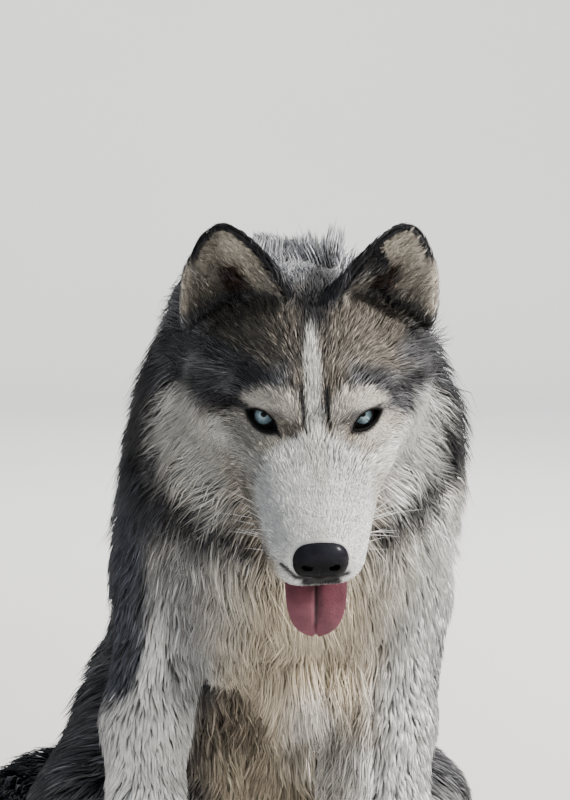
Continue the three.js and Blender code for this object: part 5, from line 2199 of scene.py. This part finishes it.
class HuskyFeatures(bpy.types.PropertyGroup):
    """Eyes, nose, tongue and whiskers."""

    iris: colour("Iris", "Colour of the eyes", 0.5, 0.72, 0.82)
    nose: colour("Nose", "Colour of the nose leather", 0.005, 0.005, 0.007)
    tongue: colour("Tongue", "Colour of the tongue", 0.12, 0.036, 0.05)
    whisker_width: size("Whisker", "Width of a whisker at its root", 0.0005, 0.0002, 0.002)


class HuskyStage(bpy.types.PropertyGroup):
    """Camera, floor and lights."""

    lens: FloatProperty(
        name="Lens", description="Focal length of the camera", default=119.7, min=20, unit="CAMERA"
    )
    floor: colour("Floor", "Colour of the floor", 0.88, 0.87, 0.85)
    key_power: power("Key", "Power of the key light", 410)
    fill_power: power("Fill", "Power of the fill light", 12)
    rim_power: power("Rim", "Power of the rim light", 45)
    backdrop_power: power("Backdrop", "Power of the light on the backdrop", 420)
    sky: FloatProperty(name="Sky", description="Strength of the light all round", default=0.33, min=0)


class HuskySettings(bpy.types.PropertyGroup):
    """All of the husky's settings."""

    skin: PointerProperty(type=HuskySkin)
    coat: PointerProperty(type=HuskyCoat)
    spacing: PointerProperty(type=HuskySpacing)
    features: PointerProperty(type=HuskyFeatures)
    stage: PointerProperty(type=HuskyStage)


# Operators


class HUSKY_OT_stage(bpy.types.Operator):
    """Make the camera, the floor and the lights"""

    bl_idname = "husky.stage"
    bl_label = "Stage"

    def execute(self, context):
        settings = context.scene.husky.stage
        build_camera(settings)
        build_floor(settings)
        build_lights(settings)
        return {"FINISHED"}


class HUSKY_OT_skin(bpy.types.Operator):
    """Make the skin over the whole body"""

    bl_idname = "husky.skin"
    bl_label = "Skin"

    def execute(self, context):
        build_skin(context.scene.husky)
        return {"FINISHED"}


class HUSKY_OT_coat(bpy.types.Operator):
    """Grow the coat on the skin, which has to be there"""

    bl_idname = "husky.coat"
    bl_label = "Coat"

    def execute(self, context):
        if "skin" not in MADE:
            raise RuntimeError("the coat needs the skin first")
        build_coat(context.scene.husky)
        build_breast(context.scene.husky)
        return {"FINISHED"}


class HUSKY_OT_whiskers(bpy.types.Operator):
    """Make the whiskers"""

    bl_idname = "husky.whiskers"
    bl_label = "Whiskers"

    def execute(self, context):
        build_whiskers(context.scene.husky)
        return {"FINISHED"}


class HUSKY_OT_eyes(bpy.types.Operator):
    """Make both eyeballs and the black rims of their lids"""

    bl_idname = "husky.eyes"
    bl_label = "Eyes"

    def execute(self, context):
        for side in SIDES:
            build_eye(side, context.scene.husky)
        build_lid_rims()
        return {"FINISHED"}


class HUSKY_OT_nose(bpy.types.Operator):
    """Make the nose leather"""

    bl_idname = "husky.nose"
    bl_label = "Nose"

    def execute(self, context):
        build_nose(context.scene.husky)
        return {"FINISHED"}


class HUSKY_OT_tongue(bpy.types.Operator):
    """Make the tongue"""

    bl_idname = "husky.tongue"
    bl_label = "Tongue"

    def execute(self, context):
        build_tongue(context.scene.husky)
        return {"FINISHED"}


class HUSKY_OT_claws(bpy.types.Operator):
    """Give the claws their horn"""

    bl_idname = "husky.claws"
    bl_label = "Claws"

    def execute(self, context):
        build_claws()
        return {"FINISHED"}


PIECES = ("stage", "skin", "coat", "whiskers", "eyes", "nose", "tongue", "claws")


class HUSKY_PT_panel(bpy.types.Panel):
    """Lists the husky's pieces and settings"""

    bl_idname = "HUSKY_PT_panel"
    bl_label = "Sitting husky"
    bl_space_type = "VIEW_3D"
    bl_region_type = "UI"
    bl_category = "Husky"

    def draw(self, context):
        layout = self.layout
        for piece in PIECES:
            layout.operator(f"husky.{piece}")
        settings = context.scene.husky
        for group in ("skin", "coat", "spacing", "features", "stage"):
            box = layout.box()
            box.label(text=group.capitalize())
            values = getattr(settings, group)
            for name in values.__annotations__:
                box.prop(values, name)


CLASSES = (
    HuskySkin,
    HuskyCoat,
    HuskySpacing,
    HuskyFeatures,
    HuskyStage,
    HuskySettings,
    HUSKY_OT_stage,
    HUSKY_OT_skin,
    HUSKY_OT_coat,
    HUSKY_OT_whiskers,
    HUSKY_OT_eyes,
    HUSKY_OT_nose,
    HUSKY_OT_tongue,
    HUSKY_OT_claws,
    HUSKY_PT_panel,
)


def register():
    for cls in CLASSES:
        bpy.utils.register_class(cls)
    bpy.types.Scene.husky = PointerProperty(type=HuskySettings)


def unregister():
    del bpy.types.Scene.husky
    for cls in reversed(CLASSES):
        bpy.utils.unregister_class(cls)


def main():
    """Makes every piece."""
    register()
    for piece in PIECES:
        getattr(bpy.ops.husky, piece)()


if __name__ == "__main__":
    main()
